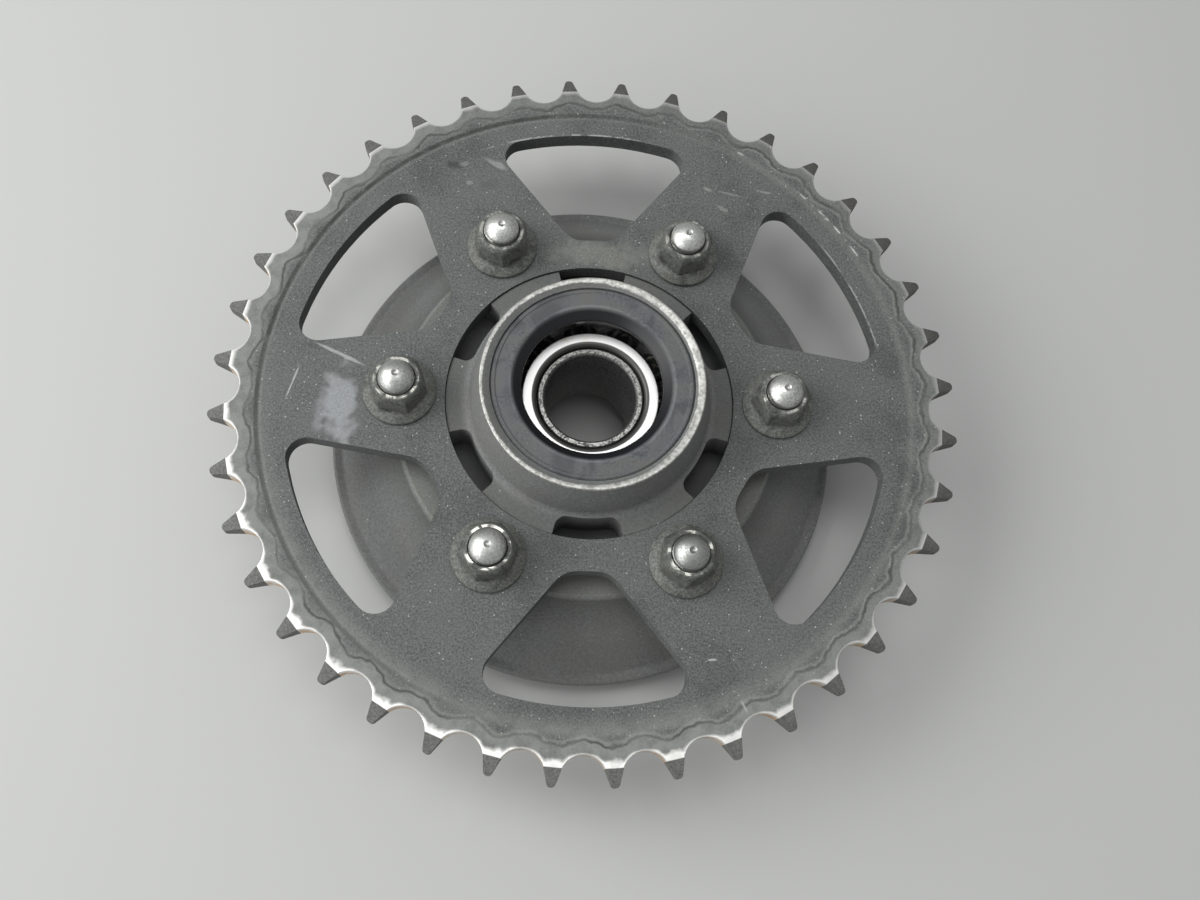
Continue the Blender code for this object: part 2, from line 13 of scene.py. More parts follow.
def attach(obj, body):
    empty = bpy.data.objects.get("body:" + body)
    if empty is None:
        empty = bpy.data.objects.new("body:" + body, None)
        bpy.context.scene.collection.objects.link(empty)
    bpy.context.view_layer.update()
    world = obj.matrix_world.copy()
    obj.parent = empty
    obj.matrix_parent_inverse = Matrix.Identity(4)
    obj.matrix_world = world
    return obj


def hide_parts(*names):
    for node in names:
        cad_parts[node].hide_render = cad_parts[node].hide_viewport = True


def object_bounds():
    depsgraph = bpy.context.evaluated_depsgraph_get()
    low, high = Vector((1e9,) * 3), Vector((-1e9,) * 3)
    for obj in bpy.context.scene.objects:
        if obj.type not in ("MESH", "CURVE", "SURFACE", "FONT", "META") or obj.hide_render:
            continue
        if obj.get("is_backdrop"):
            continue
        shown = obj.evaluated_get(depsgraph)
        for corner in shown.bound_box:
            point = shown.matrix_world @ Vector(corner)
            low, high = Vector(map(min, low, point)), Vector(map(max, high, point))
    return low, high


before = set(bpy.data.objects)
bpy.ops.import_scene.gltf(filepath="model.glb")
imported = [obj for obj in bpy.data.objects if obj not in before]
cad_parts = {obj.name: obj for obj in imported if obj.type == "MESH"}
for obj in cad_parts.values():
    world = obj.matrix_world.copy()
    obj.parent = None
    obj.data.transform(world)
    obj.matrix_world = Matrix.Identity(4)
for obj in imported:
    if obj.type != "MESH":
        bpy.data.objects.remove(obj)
cad_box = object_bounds()


# Carrier
# The hub that carries the sprocket: one aluminium casting, whose six paddles drive the wheel through rubber
# dampers. It is sand cast, turned at the nose, the lands and the bearing's seat, and painted matte black.
MM = 0.001
MERGE = 0.002
SPOKES = 6
STUD_CIRCLE = 52.7
HUB = 33.2
HUB_ROUND = 3.5
NOSE = 30.6
NOSE_TOP = 51.6
NOSE_ROUND = 0.4
BEARING_SEAT = 27.8
SHOULDER = 24.5
SEAT_FLOOR = 26.5
LAND = 40.15
LAND_TOP = 37.3
LAND_CHAMFER = 0.25
LAND_ROUND = 0.8
FLANGE_FACE = 28.8
FLANGE_BACK = 20.8
FLANGE_EDGE = 53.59
FLANGE_EDGE_ROUND = 0.7
SKIRT_LEAN = radians(41.3)
SKIRT_FOOT = 72.86
SKIRT_FOOT_ROUND = 1.5
SKIRT_BEND = 53.9
SKIRT_BEND_ROUND = 2.6
RIM = 75.2
RIM_TOP = 8.0
RIM_LOW = 4.0
RIM_ROUND = 1.0
RIM_INSIDE = 70.0
HUB_END = 7.8
HUB_END_CHAMFER = 0.6
TAIL_ROUND = 2.5
BOSS_RADIUS = 11.0
BOSS_TOP = 32.3
BOSS_FLOOR = 12.0
BOSS_ROOT = LAND - 2
BOSS_EASING = 0.8
STUD_HOLE = 5.3
STUD_HOLE_FLOOR = 15.0
POCKET_INNER = 34.5
POCKET_OUTER = 46.5
POCKET_FLOOR = 24.8
POCKET_HALF_ANGLE = radians(14)
POCKET_CORNER = 3.0
PADDLE_INNER = 31.2
PADDLE_OUTER = 65.2
PADDLE_HALF = 6.0
PADDLE_EASING = 1.5
CUTTER_CLEAR = 5.0
CARRIER_STEPS = 180
SHARP_ANGLE = radians(40)
SMOOTH_ANGLE = radians(38)


def arc(centre, radius, start, end, steps):
    """Points along a circle, both ends included."""
    turns = [start + (end - start) * step / steps for step in range(steps + 1)]
    return [(centre[0] + radius * cos(turn), centre[1] + radius * sin(turn)) for turn in turns]


def spun(profile, steps, closed=True):
    """Turn a profile of radii and heights in millimetres about the wheel's axis."""
    shape = bmesh.new()
    points = [shape.verts.new((radius * MM, 0, height * MM)) for radius, height in profile]
    pairs = list(zip(points, points[1:] + points[:1])) if closed else list(zip(points, points[1:]))
    lines = [shape.edges.new(pair) for pair in pairs]
    bmesh.ops.spin(
        shape, geom=points + lines, cent=(0, 0, 0), axis=(0, 0, 1), angle=2 * pi, steps=steps, use_merge=True
    )
    bmesh.ops.remove_doubles(shape, verts=shape.verts, dist=MERGE * MM)
    bmesh.ops.recalc_face_normals(shape, faces=shape.faces)
    return shape


def prism(outline, low, high):
    """Stand an outline in millimetres up between two heights."""
    shape = bmesh.new()
    face = shape.faces.new([shape.verts.new((x * MM, y * MM, low * MM)) for x, y in outline])
    raised = bmesh.ops.extrude_face_region(shape, geom=[face])["geom"]
    top = [item for item in raised if isinstance(item, bmesh.types.BMVert)]
    bmesh.ops.translate(shape, verts=top, vec=(0, 0, (high - low) * MM))
    bmesh.ops.recalc_face_normals(shape, faces=shape.faces)
    return shape


def everything(shape):
    """All of a shape's points, edges and faces."""
    return shape.verts[:] + shape.edges[:] + shape.faces[:]


def round_the_axis(shape, count):
    """Repeat a shape evenly round the wheel's axis."""
    turn = 2 * pi * (count - 1) / count
    bmesh.ops.spin(
        shape,
        geom=everything(shape),
        cent=(0, 0, 0),
        axis=(0, 0, 1),
        angle=turn,
        steps=count - 1,
        use_duplicate=True,
    )


def eased(shape, edges, width, segments):
    """Round some of a shape's edges."""
    bmesh.ops.bevel(
        shape,
        geom=edges,
        offset=width * MM,
        segments=segments,
        profile=0.5,
        affect="EDGES",
        material=-1,
        clamp_overlap=True,
    )


def sharp_edges(shape):
    """The edges whose two faces meet at a sharp angle."""
    return [edge for edge in shape.edges if edge.is_manifold and edge.calc_face_angle() > SHARP_ANGLE]


def joined(blank, *tools):
    """Join a blank with tools, or cut it by them, in turn: each tool is an operation and a shape."""
    helpers = []
    for shape in [blank] + [tool for operation, tool in tools]:
        mesh = bpy.data.meshes.new("blank")
        shape.to_mesh(mesh)
        shape.free()
        helpers.append(bpy.data.objects.new("blank", mesh))
        bpy.context.collection.objects.link(helpers[-1])
    operations = [operation for operation, tool in tools]
    for operation, helper in zip(operations, helpers[1:]):
        step = helpers[0].modifiers.new(operation, "BOOLEAN")
        step.operation = operation
        step.solver = "EXACT"
        step.object = helper
    ready = helpers[0].evaluated_get(bpy.context.evaluated_depsgraph_get())
    result = bmesh.new()
    result.from_mesh(ready.to_mesh())
    for helper in helpers:
        bpy.data.meshes.remove(helper.data)
    return result


def fitted(name, shape, finish, body, slot, *nodes):
    """Make a finished piece of a shape: faces outwards, smooth between its edges, riding on its body."""
    bmesh.ops.remove_doubles(shape, verts=shape.verts, dist=MERGE * MM)
    bmesh.ops.recalc_face_normals(shape, faces=shape.faces)
    mesh = bpy.data.meshes.new(name)
    shape.to_mesh(mesh)
    shape.free()
    mesh.shade_smooth()
    mesh.set_sharp_from_angle(angle=SMOOTH_ANGLE)
    mesh.materials.append(finish)
    piece = bpy.data.objects.new(name, mesh)
    bpy.context.collection.objects.link(piece)
    piece.modifiers.new("even shading", "WEIGHTED_NORMAL").keep_sharp = True
    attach(piece, body)
    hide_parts(*nodes)


cone_lean = atan2(HUB - NOSE, NOSE_TOP - LAND_TOP - HUB_ROUND)
casting = spun(
    [
        (BEARING_SEAT, NOSE_TOP - 0.8),
        (NOSE - 1.7, NOSE_TOP),
        *arc((NOSE - NOSE_ROUND, NOSE_TOP - NOSE_ROUND), NOSE_ROUND, pi / 2, cone_lean, 4),
        *arc((HUB + HUB_ROUND, LAND_TOP + HUB_ROUND), HUB_ROUND, pi + cone_lean, 1.5 * pi, 8),
        (LAND - LAND_CHAMFER, LAND_TOP),
        (LAND, LAND_TOP - LAND_CHAMFER),
        *arc((LAND + LAND_ROUND, FLANGE_FACE + LAND_ROUND), LAND_ROUND, pi, 1.5 * pi, 4),
        *arc((FLANGE_EDGE, FLANGE_FACE - FLANGE_EDGE_ROUND), FLANGE_EDGE_ROUND, pi / 2, SKIRT_LEAN, 4),
        *arc((SKIRT_FOOT, RIM_TOP + SKIRT_FOOT_ROUND), SKIRT_FOOT_ROUND, pi + SKIRT_LEAN, 1.5 * pi, 4),
        *arc((RIM - RIM_ROUND, RIM_TOP - RIM_ROUND), RIM_ROUND, pi / 2, 0, 4),
        (RIM, RIM_LOW + 0.5),
        (RIM - 0.5, RIM_LOW),
        (RIM_INSIDE, RIM_LOW),
        (RIM_INSIDE - 0.6, RIM_LOW + 0.4),
        *arc((SKIRT_BEND, FLANGE_BACK - SKIRT_BEND_ROUND), SKIRT_BEND_ROUND, SKIRT_LEAN, pi / 2, 5),
        *arc((HUB + TAIL_ROUND, FLANGE_BACK - TAIL_ROUND), TAIL_ROUND, pi / 2, pi, 5),
        (HUB, HUB_END + HUB_END_CHAMFER),
        (HUB - HUB_END_CHAMFER, HUB_END),
        (SHOULDER + HUB_END_CHAMFER, HUB_END),
        (SHOULDER, HUB_END + HUB_END_CHAMFER),
        (SHOULDER, SEAT_FLOOR),
        (BEARING_SEAT, SEAT_FLOOR),
    ],
    CARRIER_STEPS,
)
boss_side = arc((STUD_CIRCLE, 0), BOSS_RADIUS, -pi / 2, pi / 2, 24)
bosses = prism([(BOSS_ROOT, -BOSS_RADIUS), *boss_side, (BOSS_ROOT, BOSS_RADIUS)], BOSS_FLOOR, BOSS_TOP)
past_land = (LAND + LAND_ROUND) * MM
boss_edges = [edge for edge in sharp_edges(bosses) if all(vert.co.x > past_land for vert in edge.verts)]
eased(bosses, boss_edges, BOSS_EASING, 3)
round_the_axis(bosses, SPOKES)

paddle = [(PADDLE_INNER, -PADDLE_HALF), (PADDLE_OUTER, -PADDLE_HALF)]
paddle += [(PADDLE_OUTER, PADDLE_HALF), (PADDLE_INNER, PADDLE_HALF)]
paddles = prism(paddle, 0, FLANGE_BACK + 2)
eased(paddles, paddles.edges[:], PADDLE_EASING, 4)
round_the_axis(paddles, SPOKES)

corner_turn = POCKET_HALF_ANGLE - POCKET_CORNER / (POCKET_INNER + POCKET_CORNER)
corner_at = POCKET_INNER + POCKET_CORNER
corner = (corner_at * cos(corner_turn), corner_at * sin(corner_turn))
half_pocket = arc((0, 0), POCKET_INNER, 0, corner_turn, 8)[:-1]
half_pocket += arc(corner, POCKET_CORNER, corner_turn + pi, corner_turn + pi / 2, 8)
half_pocket += arc((0, 0), POCKET_OUTER, POCKET_HALF_ANGLE, 0, 8)
other_half = [(x, -y) for x, y in half_pocket[-2:0:-1]]
pockets = prism(half_pocket + other_half, POCKET_FLOOR, NOSE_TOP + CUTTER_CLEAR)
between_studs = Matrix.Rotation(pi / SPOKES, 3, "Z")
bmesh.ops.rotate(pockets, verts=pockets.verts, cent=(0, 0, 0), matrix=between_studs)
round_the_axis(pockets, SPOKES)

stud_hole = arc((STUD_CIRCLE, 0), STUD_HOLE, 0, 2 * pi, 32)[:-1]
stud_holes = prism(stud_hole, STUD_HOLE_FLOOR, BOSS_TOP + CUTTER_CLEAR)
round_the_axis(stud_holes, SPOKES)
casting = joined(
    casting, ("UNION", bosses), ("UNION", paddles), ("DIFFERENCE", pockets), ("DIFFERENCE", stud_holes)
)


def linear(colour):
    """An sRGB hex colour as the linear values that a shader takes."""
    parts = [int(colour[place : place + 2], 16) / 255 for place in (1, 3, 5)]
    return [part / 12.92 if part <= 0.04045 else ((part + 0.055) / 1.055) ** 2.4 for part in parts] + [1]


def blank_finish(name):
    """A material with nothing in it yet, and the tree that its nodes go in."""
    finish = bpy.data.materials.new(name)
    finish.use_nodes = True
    finish.node_tree.nodes.clear()
    return finish, finish.node_tree


def add(tree, kind, links=(), **settings):
    """Add a node with its settings, link or fill its sockets, and give back its first output in use."""
    node = tree.nodes.new("ShaderNode" + kind)
    for name, value in settings.items():
        setattr(node, name, value)
    for key, value in dict(links).items():
        by_name = (socket for socket in node.inputs if socket.enabled and socket.name == key)
        socket = node.inputs[key] if isinstance(key, int) else next(by_name)
        if isinstance(value, bpy.types.NodeSocket):
            tree.links.new(value, socket)
        else:
            socket.default_value = value
    return next((socket for socket in node.outputs if socket.enabled), None)


def axis_distance(tree, here, x=0.0, y=0.0):
    """How far a place is from an upright axis, the wheel's own unless another is given."""
    flat = add(tree, "VectorMath", {0: here, 1: (1, 1, 0)}, operation="MULTIPLY")
    return add(tree, "VectorMath", {0: flat, 1: (x, y, 0)}, operation="DISTANCE").node.outputs["Value"]


def away_from(tree, value, middle):
    """How far a value is from a middle, either way."""
    offset = add(tree, "Math", {0: value, 1: -middle}, operation="ADD")
    return add(tree, "Math", {0: offset}, operation="ABSOLUTE")


def tinted(tree, colour, shade, strength, *limits):
    """Lay a shade over a colour, let in by each limit as its pattern goes from one value to another."""
    amount = strength
    for pattern, none_at, all_at in limits:
        fade = {"Value": pattern, "From Min": none_at, "From Max": all_at, "To Max": amount}
        amount = add(tree, "MapRange", fade)
    return add(tree, "Mix", {"Factor": amount, "A": colour, "B": linear(shade)}, data_type="RGBA")


# Matte black paint on a cast skin, grey with road dust: finely mottled, chipped, and browner in patches.
# The lands' upward faces are darker, and dust lies on the flange. Painted shade darkens the pockets and the
# skirt under the flange's edge, a faint painted highlight runs along that edge, and the nose's edge is
# knocked bare and pitted.
cast_paint, tree = blank_finish("matte_paint_on_sand_cast_aluminium")
here = add(tree, "TexCoord").node.outputs["Object"]
height = add(tree, "SeparateXYZ", {0: here}).node.outputs["Z"]
facing = add(tree, "SeparateXYZ", {0: here.node.outputs["Normal"]}).node.outputs["Z"]
radius = axis_distance(tree, here)
grain = add(tree, "TexNoise", {"Vector": here, "Scale": 1 / (0.7 * MM), "Detail": 4.0, "Roughness": 0.65})
clouds = add(tree, "TexNoise", {"Vector": here, "Scale": 1 / (18 * MM), "Detail": 4.0, "Roughness": 0.6})
mottle = (grain, 0.3, 0.72)
painted = tinted(tree, linear("#5e6060"), "#868887", 1.0, mottle)
painted = tinted(tree, painted, "#73726b", 0.45, (clouds, 0.35, 0.68))
# The lands' upward faces are darker.
on_land = (height, (LAND_TOP - 0.5) * MM, (LAND_TOP - 0.1) * MM)
painted = tinted(tree, painted, "#4f514e", 0.55, (facing, 0.8, 0.98), on_land)
chips = add(tree, "TexVoronoi", {"Vector": here, "Scale": 1 / (2.4 * MM), "Randomness": 1.0})
chip_pick = add(tree, "SeparateColor", {0: chips.node.outputs["Color"]})
chip_size = add(tree, "MapRange", {"Value": chip_pick, "From Min": 0.6, "From Max": 1.0, "To Max": 0.12})
chipped = add(tree, "Math", {0: chips, 1: chip_size}, operation="LESS_THAN")
painted = tinted(tree, painted, "#a9aba7", 1.0, (chipped, 0, 1))
on_flange = (height, (FLANGE_FACE - 0.5) * MM, (FLANGE_FACE - 0.2) * MM)
past_pockets = (radius, (POCKET_OUTER + 0.3) * MM, (POCKET_OUTER + 0.7) * MM)
painted = tinted(tree, painted, "#6c6e65", 0.45, on_flange, past_pockets)
# Painted shadow: the skirt is darker just under the flange's edge, where the sprocket shades it.
shadowed_skirt_reach = (radius, 63.0 * MM, 55.0 * MM)
shadow_below_flange = (height, (FLANGE_FACE - 0.6) * MM, (FLANGE_FACE - 1.4) * MM)
painted = tinted(tree, painted, "#3c3e3b", 0.65, shadowed_skirt_reach, shadow_below_flange)
# A faint pale painted highlight along the flange's rounded edge.
along_edge = (away_from(tree, radius, (FLANGE_EDGE + 0.31) * MM), 0.4 * MM, 0.1 * MM)
at_edge = (height, (FLANGE_FACE - 1.0) * MM, (FLANGE_FACE - 0.6) * MM)
painted = tinted(tree, painted, "#a2a49c", 0.2, along_edge, at_edge, mottle)
# Painted shade: the pockets get darker further down, near the hub.
pocket_shade_depth = (height, (LAND_TOP - 1.8) * MM, (FLANGE_FACE + 0.2) * MM)
near_hub = (radius, (POCKET_OUTER + 1.5) * MM, (POCKET_OUTER + 0.3) * MM)
painted = tinted(tree, painted, "#545655", 0.6, pocket_shade_depth, near_hub)
pits = add(tree, "TexNoise", {"Vector": here, "Scale": 1 / (1.0 * MM), "Detail": 3.0})
bare = tinted(tree, linear("#8f8e89"), "#c8c8c4", 1.0, (pits, 0.3, 0.64))

# The bare edge is ragged, and wider on the side where the nose was knocked most.
knocks = (0.94 / (30 * MM), 0.34 / (30 * MM), 0)
knocks = add(tree, "VectorMath", {0: here, 1: knocks}, operation="DOT_PRODUCT").node.outputs["Value"]
edge_line = add(tree, "Math", {0: knocks, 1: -0.7 * MM, 2: 28.0 * MM}, operation="MULTIPLY_ADD")
edge_line = add(tree, "Math", {0: clouds, 1: 0.9 * MM, 2: edge_line}, operation="MULTIPLY_ADD")
edge_line = add(tree, "Math", {0: grain, 1: 1.1 * MM, 2: edge_line}, operation="MULTIPLY_ADD")
past_line = add(tree, "Math", {0: radius, 1: edge_line}, operation="SUBTRACT")
at_top = {"Value": height, "From Min": (NOSE_TOP - 0.7) * MM, "From Max": (NOSE_TOP - 0.4) * MM}
at_top = add(tree, "MapRange", at_top)
knocked = {"Value": past_line, "From Min": -0.1 * MM, "From Max": 0.15 * MM, "To Max": at_top}
knocked = add(tree, "MapRange", knocked)
colour = add(tree, "Mix", {"Factor": knocked, "A": painted, "B": bare}, data_type="RGBA")
roughness = add(tree, "MapRange", {"Value": knocked, "To Min": 0.72, "To Max": 0.46})
metallic = add(tree, "Math", {0: knocked, 1: 0.8}, operation="MULTIPLY")
bump_level = add(tree, "MapRange", {"Value": knocked, "To Min": 0.4, "To Max": 0.15})
bumps = add(tree, "Bump", {"Height": grain, "Strength": bump_level, "Distance": 0.08 * MM})
paint_shader = add(
    tree,
    "BsdfPrincipled",
    {"Base Color": colour, "Metallic": metallic, "Roughness": roughness, "IOR": 1.5, "Normal": bumps},
)
add(tree, "OutputMaterial", {"Surface": paint_shader})
fitted("carrier_casting", casting, cast_paint, "carrier", "carrier_paint", "carrier")


# Studs
# Six steel studs screwed into the casting's bosses, zinc plated, with a domed end and a lathe's centre mark.
# Only the last threads and the dome stand out of the nuts.
STUD_TOP = 52.1
STUD_END = 15.3
STUD_RADIUS = 5.0
STUD_CHAMFER = 1.2
THREAD_ROOT = 4.3
THREAD_FOOT = 0.55
THREAD_CREST = 0.08
THREAD_PITCH = 1.25
THREAD_START = 34.0
THREAD_TURNS = 12
THREAD_STEPS = 28
THREAD_TWIST = 2.1
DOME = 5.7
DOME_EDGE = 4.8
MARK_DEPTH = 0.7
MARK_EDGE = 1.0
STUD_DULLNESS = (0.0, 0.0, 0.05, 0.2, 0.0, 0.5)
dome_middle = STUD_TOP - DOME
dome_edge = acos(DOME_EDGE / DOME)
dome_top = acos(MARK_EDGE / DOME)

# Zinc plate on turned steel: dull silver in fine patches on the dome, and dark below it, where the stud goes
# into the nut, with grime in the threads and painted shade. Some studs have dulled more than others, and
# their centre marks are darker.
zinc, tree = blank_finish("zinc_plated_steel")
here = add(tree, "TexCoord").node.outputs["Object"]
height = add(tree, "SeparateXYZ", {0: here}).node.outputs["Z"]
spots = add(tree, "TexNoise", {"Vector": here, "Scale": 1 / (0.7 * MM), "Detail": 3.0})
spots = add(tree, "MapRange", {"Value": spots, "From Min": 0.35, "From Max": 0.7})
colour = tinted(tree, linear("#eaebe7"), "#b6b7b2", 1.0, (spots, 0, 1))
# Grime in the threads and painted shade darken the stud below the dome, where it goes into the nut.
colour = tinted(tree, colour, "#2b2a27", 0.9, (height, (STUD_TOP - 2.6) * MM, (STUD_TOP - 3.4) * MM))
for index, dullness in enumerate(STUD_DULLNESS):
    turn = 2 * pi * index / SPOKES
    from_axis = axis_distance(tree, here, STUD_CIRCLE * cos(turn) * MM, STUD_CIRCLE * sin(turn) * MM)
    colour = tinted(tree, colour, "#7d7f7c", dullness, (from_axis, 8.1 * MM, 8.0 * MM))
    # Each centre mark is painted darker.
    colour = tinted(tree, colour, "#5b5a55", 0.45, (from_axis, MARK_EDGE * MM, MARK_EDGE / 2 * MM))
roughness = add(tree, "MapRange", {"Value": spots, "To Min": 0.34, "To Max": 0.56})
bumps = add(tree, "Bump", {"Height": spots, "Strength": 0.4, "Distance": 0.04 * MM})
zinc_shader = add(
    tree, "BsdfPrincipled", {"Base Color": colour, "Metallic": 1.0, "Roughness": roughness, "Normal": bumps}
)
add(tree, "OutputMaterial", {"Surface": zinc_shader})

for index in range(SPOKES):
    stud = spun(
        [
            (0, STUD_TOP - MARK_DEPTH),
            (0.75 * MARK_EDGE, STUD_TOP - 0.4 * MARK_DEPTH),
            *arc((0, dome_middle), DOME, dome_top, dome_edge, 8),
            (DOME_EDGE, STUD_TOP - 3.3),
            (THREAD_ROOT, STUD_TOP - 3.8),
            (THREAD_ROOT, THREAD_START - 0.5),
            (STUD_RADIUS, THREAD_START - STUD_CHAMFER),
            (STUD_RADIUS, STUD_END + STUD_CHAMFER),
            (STUD_RADIUS - STUD_CHAMFER, STUD_END),
            (0, STUD_END),
        ],
        THREAD_STEPS,
        closed=False,
    )
    ridge = bmesh.new()
    sunk = THREAD_ROOT - 0.1
    corners = [(sunk, -THREAD_FOOT), (STUD_RADIUS, -THREAD_CREST)]
    corners += [(STUD_RADIUS, THREAD_CREST), (sunk, THREAD_FOOT)]
    ridge.faces.new([ridge.verts.new((r * MM, 0, (THREAD_START + z) * MM)) for r, z in corners])
    bmesh.ops.spin(
        ridge,
        geom=everything(ridge),
        cent=(0, 0, 0),
        axis=(0, 0, 1),
        dvec=(0, 0, THREAD_PITCH / THREAD_STEPS * MM),
        angle=2 * pi * THREAD_TURNS,
        steps=THREAD_STEPS * THREAD_TURNS,
    )
    bmesh.ops.holes_fill(ridge, edges=[edge for edge in ridge.edges if edge.is_boundary])
    bmesh.ops.recalc_face_normals(ridge, faces=ridge.faces)
    helix = bpy.data.meshes.new("thread")
    ridge.to_mesh(helix)
    ridge.free()
    stud.from_mesh(helix)
    bpy.data.meshes.remove(helix)
    screwed_in = Matrix.Rotation(THREAD_TWIST * index, 3, "Z")
    bmesh.ops.rotate(stud, verts=stud.verts, cent=(0, 0, 0), matrix=screwed_in)
    turn = 2 * pi * index / SPOKES
    place = Vector((cos(turn), sin(turn), 0)) * STUD_CIRCLE * MM
    bmesh.ops.translate(stud, verts=stud.verts, vec=place)
    fitted(f"stud_steel_{index + 1}", stud, zinc, "carrier", "stud_steel", f"stud_{index + 1}")


# Bearing
# An open deep-groove ball bearing, 30 by 55 by 13 mm, pressed into the hub. It has two ground steel races,
# eleven balls, and a ribbon cage of pressed strip in two halves, riveted together between the balls.
BEARING_MIDDLE = 33.3
BEARING_HALF = 6.5
BEARING_BORE = 15.0
BEARING_OUTSIDE = 27.5
BALL_CIRCLE = 21.25
BALL = 3.572
BALLS = 11
GROOVE = 3.72
INNER_LAND = 18.9
OUTER_LAND = 23.6
RACE_CORNER = 1.2
RACE_CHAMFER = 0.2
CAGE_HALF_WIDTH = 1.3
CAGE_STRIP = 0.6
CAGE_HALF_GAP = 0.15
CAGE_BALL_CLEAR = 0.2
CAGE_STEPS = 32
RIVET = 0.75
RIVET_SQUAT = 0.6
BEARING_STEPS = 132
race_top = BEARING_MIDDLE + BEARING_HALF
race_low = BEARING_MIDDLE - BEARING_HALF
groove_turn = acos((BALL_CIRCLE - INNER_LAND) / GROOVE)

# Ground bearing steel, only partly metallic: near white, the white partly a painted reflection, with fine
# grinding rings. A film of old grease yellows it in patches, and the round at its bore is dark with it.
race_steel, tree = blank_finish("ground_bearing_steel")
here = add(tree, "TexCoord").node.outputs["Object"]
radius = axis_distance(tree, here)
rings = add(tree, "CombineXYZ", {"X": radius})
rings = add(tree, "TexNoise", {"Vector": rings, "Scale": 1 / (0.12 * MM), "Detail": 2.0})
film = add(tree, "TexNoise", {"Vector": here, "Scale": 1 / (5 * MM), "Detail": 3.0})
# The near-white colour on steel that is only partly metallic is partly a painted reflection.
colour = tinted(tree, linear("#fafaf9"), "#c9b994", 0.35, (film, 0.58, 0.75))
at_bore = (radius, (BEARING_BORE + 1.5) * MM, (BEARING_BORE + 1.3) * MM)
colour = tinted(tree, colour, "#3c3c39", 0.96, at_bore)
roughness = {"Value": rings, "From Min": 0.3, "From Max": 0.7, "To Min": 0.34, "To Max": 0.46}
roughness = add(tree, "MapRange", roughness)
bumps = add(tree, "Bump", {"Height": rings, "Strength": 0.15, "Distance": 0.01 * MM})
race_shader = add(
    tree, "BsdfPrincipled", {"Base Color": colour, "Metallic": 0.65, "Roughness": roughness, "Normal": bumps}
)
add(tree, "OutputMaterial", {"Surface": race_shader})

outer_race = spun(
    [
        (OUTER_LAND + RACE_CHAMFER, race_top),
        *arc((BEARING_OUTSIDE - RACE_CORNER, race_top - RACE_CORNER), RACE_CORNER, pi / 2, 0, 5),
        *arc((BEARING_OUTSIDE - RACE_CORNER, race_low + RACE_CORNER), RACE_CORNER, 0, -pi / 2, 5),
        (OUTER_LAND + RACE_CHAMFER, race_low),
        (OUTER_LAND, race_low + RACE_CHAMFER),
        *arc((BALL_CIRCLE, BEARING_MIDDLE), GROOVE, -groove_turn, groove_turn, 12),
        (OUTER_LAND, race_top - RACE_CHAMFER),
    ],
    BEARING_STEPS,
)
fitted("outer_race_ring", outer_race, race_steel, "carrier", "bearing_steel", "bearing_outer_race")
inner_race = spun(
    [
        *arc((BEARING_BORE + RACE_CORNER, race_top - RACE_CORNER), RACE_CORNER, pi, pi / 2, 5),
        (INNER_LAND - RACE_CHAMFER, race_top),
        (INNER_LAND, race_top - RACE_CHAMFER),
        *arc((BALL_CIRCLE, BEARING_MIDDLE), GROOVE, pi - groove_turn, pi + groove_turn, 12),
        (INNER_LAND, race_low + RACE_CHAMFER),
        (INNER_LAND - RACE_CHAMFER, race_low),
        *arc((BEARING_BORE + RACE_CORNER, race_low + RACE_CORNER), RACE_CORNER, -pi / 2, -pi, 5),
    ],
    BEARING_STEPS,
)
fitted("inner_race_ring", inner_race, race_steel, "inner_race", "bearing_steel", "bearing_inner_race")

# Lapped steel balls under old grease: nearly black and wet looking, and bright where they have run clean.
ball_steel, tree = blank_finish("greased_ball_steel")
here = add(tree, "TexCoord").node.outputs["Object"]
film = add(tree, "TexNoise", {"Vector": here, "Scale": 1 / (2.5 * MM), "Detail": 2.0})
clean = add(tree, "MapRange", {"Value": film, "From Min": 0.56, "From Max": 0.66})
colour = tinted(tree, linear("#0e0f10"), "#f6f6f3", 1.0, (clean, 0, 1))
ball_shader = add(tree, "BsdfPrincipled", {"Base Color": colour, "Metallic": clean, "Roughness": 0.13})
add(tree, "OutputMaterial", {"Surface": ball_shader})

for index in range(BALLS):
    turn = 2 * pi * index / BALLS
    place = Vector((BALL_CIRCLE * cos(turn), BALL_CIRCLE * sin(turn), BEARING_MIDDLE)) * MM
    ball = bmesh.new()
    bmesh.ops.create_icosphere(ball, subdivisions=4, radius=BALL * MM, matrix=Matrix.Translation(place))
    node = f"bearing_ball_{index + 1:02d}"
    fitted(f"ball_{index + 1:02d}", ball, ball_steel, "ball_cage", "bearing_steel", node)

# Pressed strip steel, black with old grease: only its high spots show metal.
strip_steel, tree = blank_finish("greased_strip_steel")
here = add(tree, "TexCoord").node.outputs["Object"]
film = add(tree, "TexNoise", {"Vector": here, "Scale": 1 / (1.6 * MM), "Detail": 3.0})
clean = add(tree, "MapRange", {"Value": film, "From Min": 0.58, "From Max": 0.74})
colour = tinted(tree, linear("#161718"), "#726c62", 1.0, (clean, 0, 1))
roughness = add(tree, "MapRange", {"Value": clean, "To Min": 0.25, "To Max": 0.4})
strip_shader = add(tree, "BsdfPrincipled", {"Base Color": colour, "Metallic": clean, "Roughness": roughness})
add(tree, "OutputMaterial", {"Surface": strip_shader})

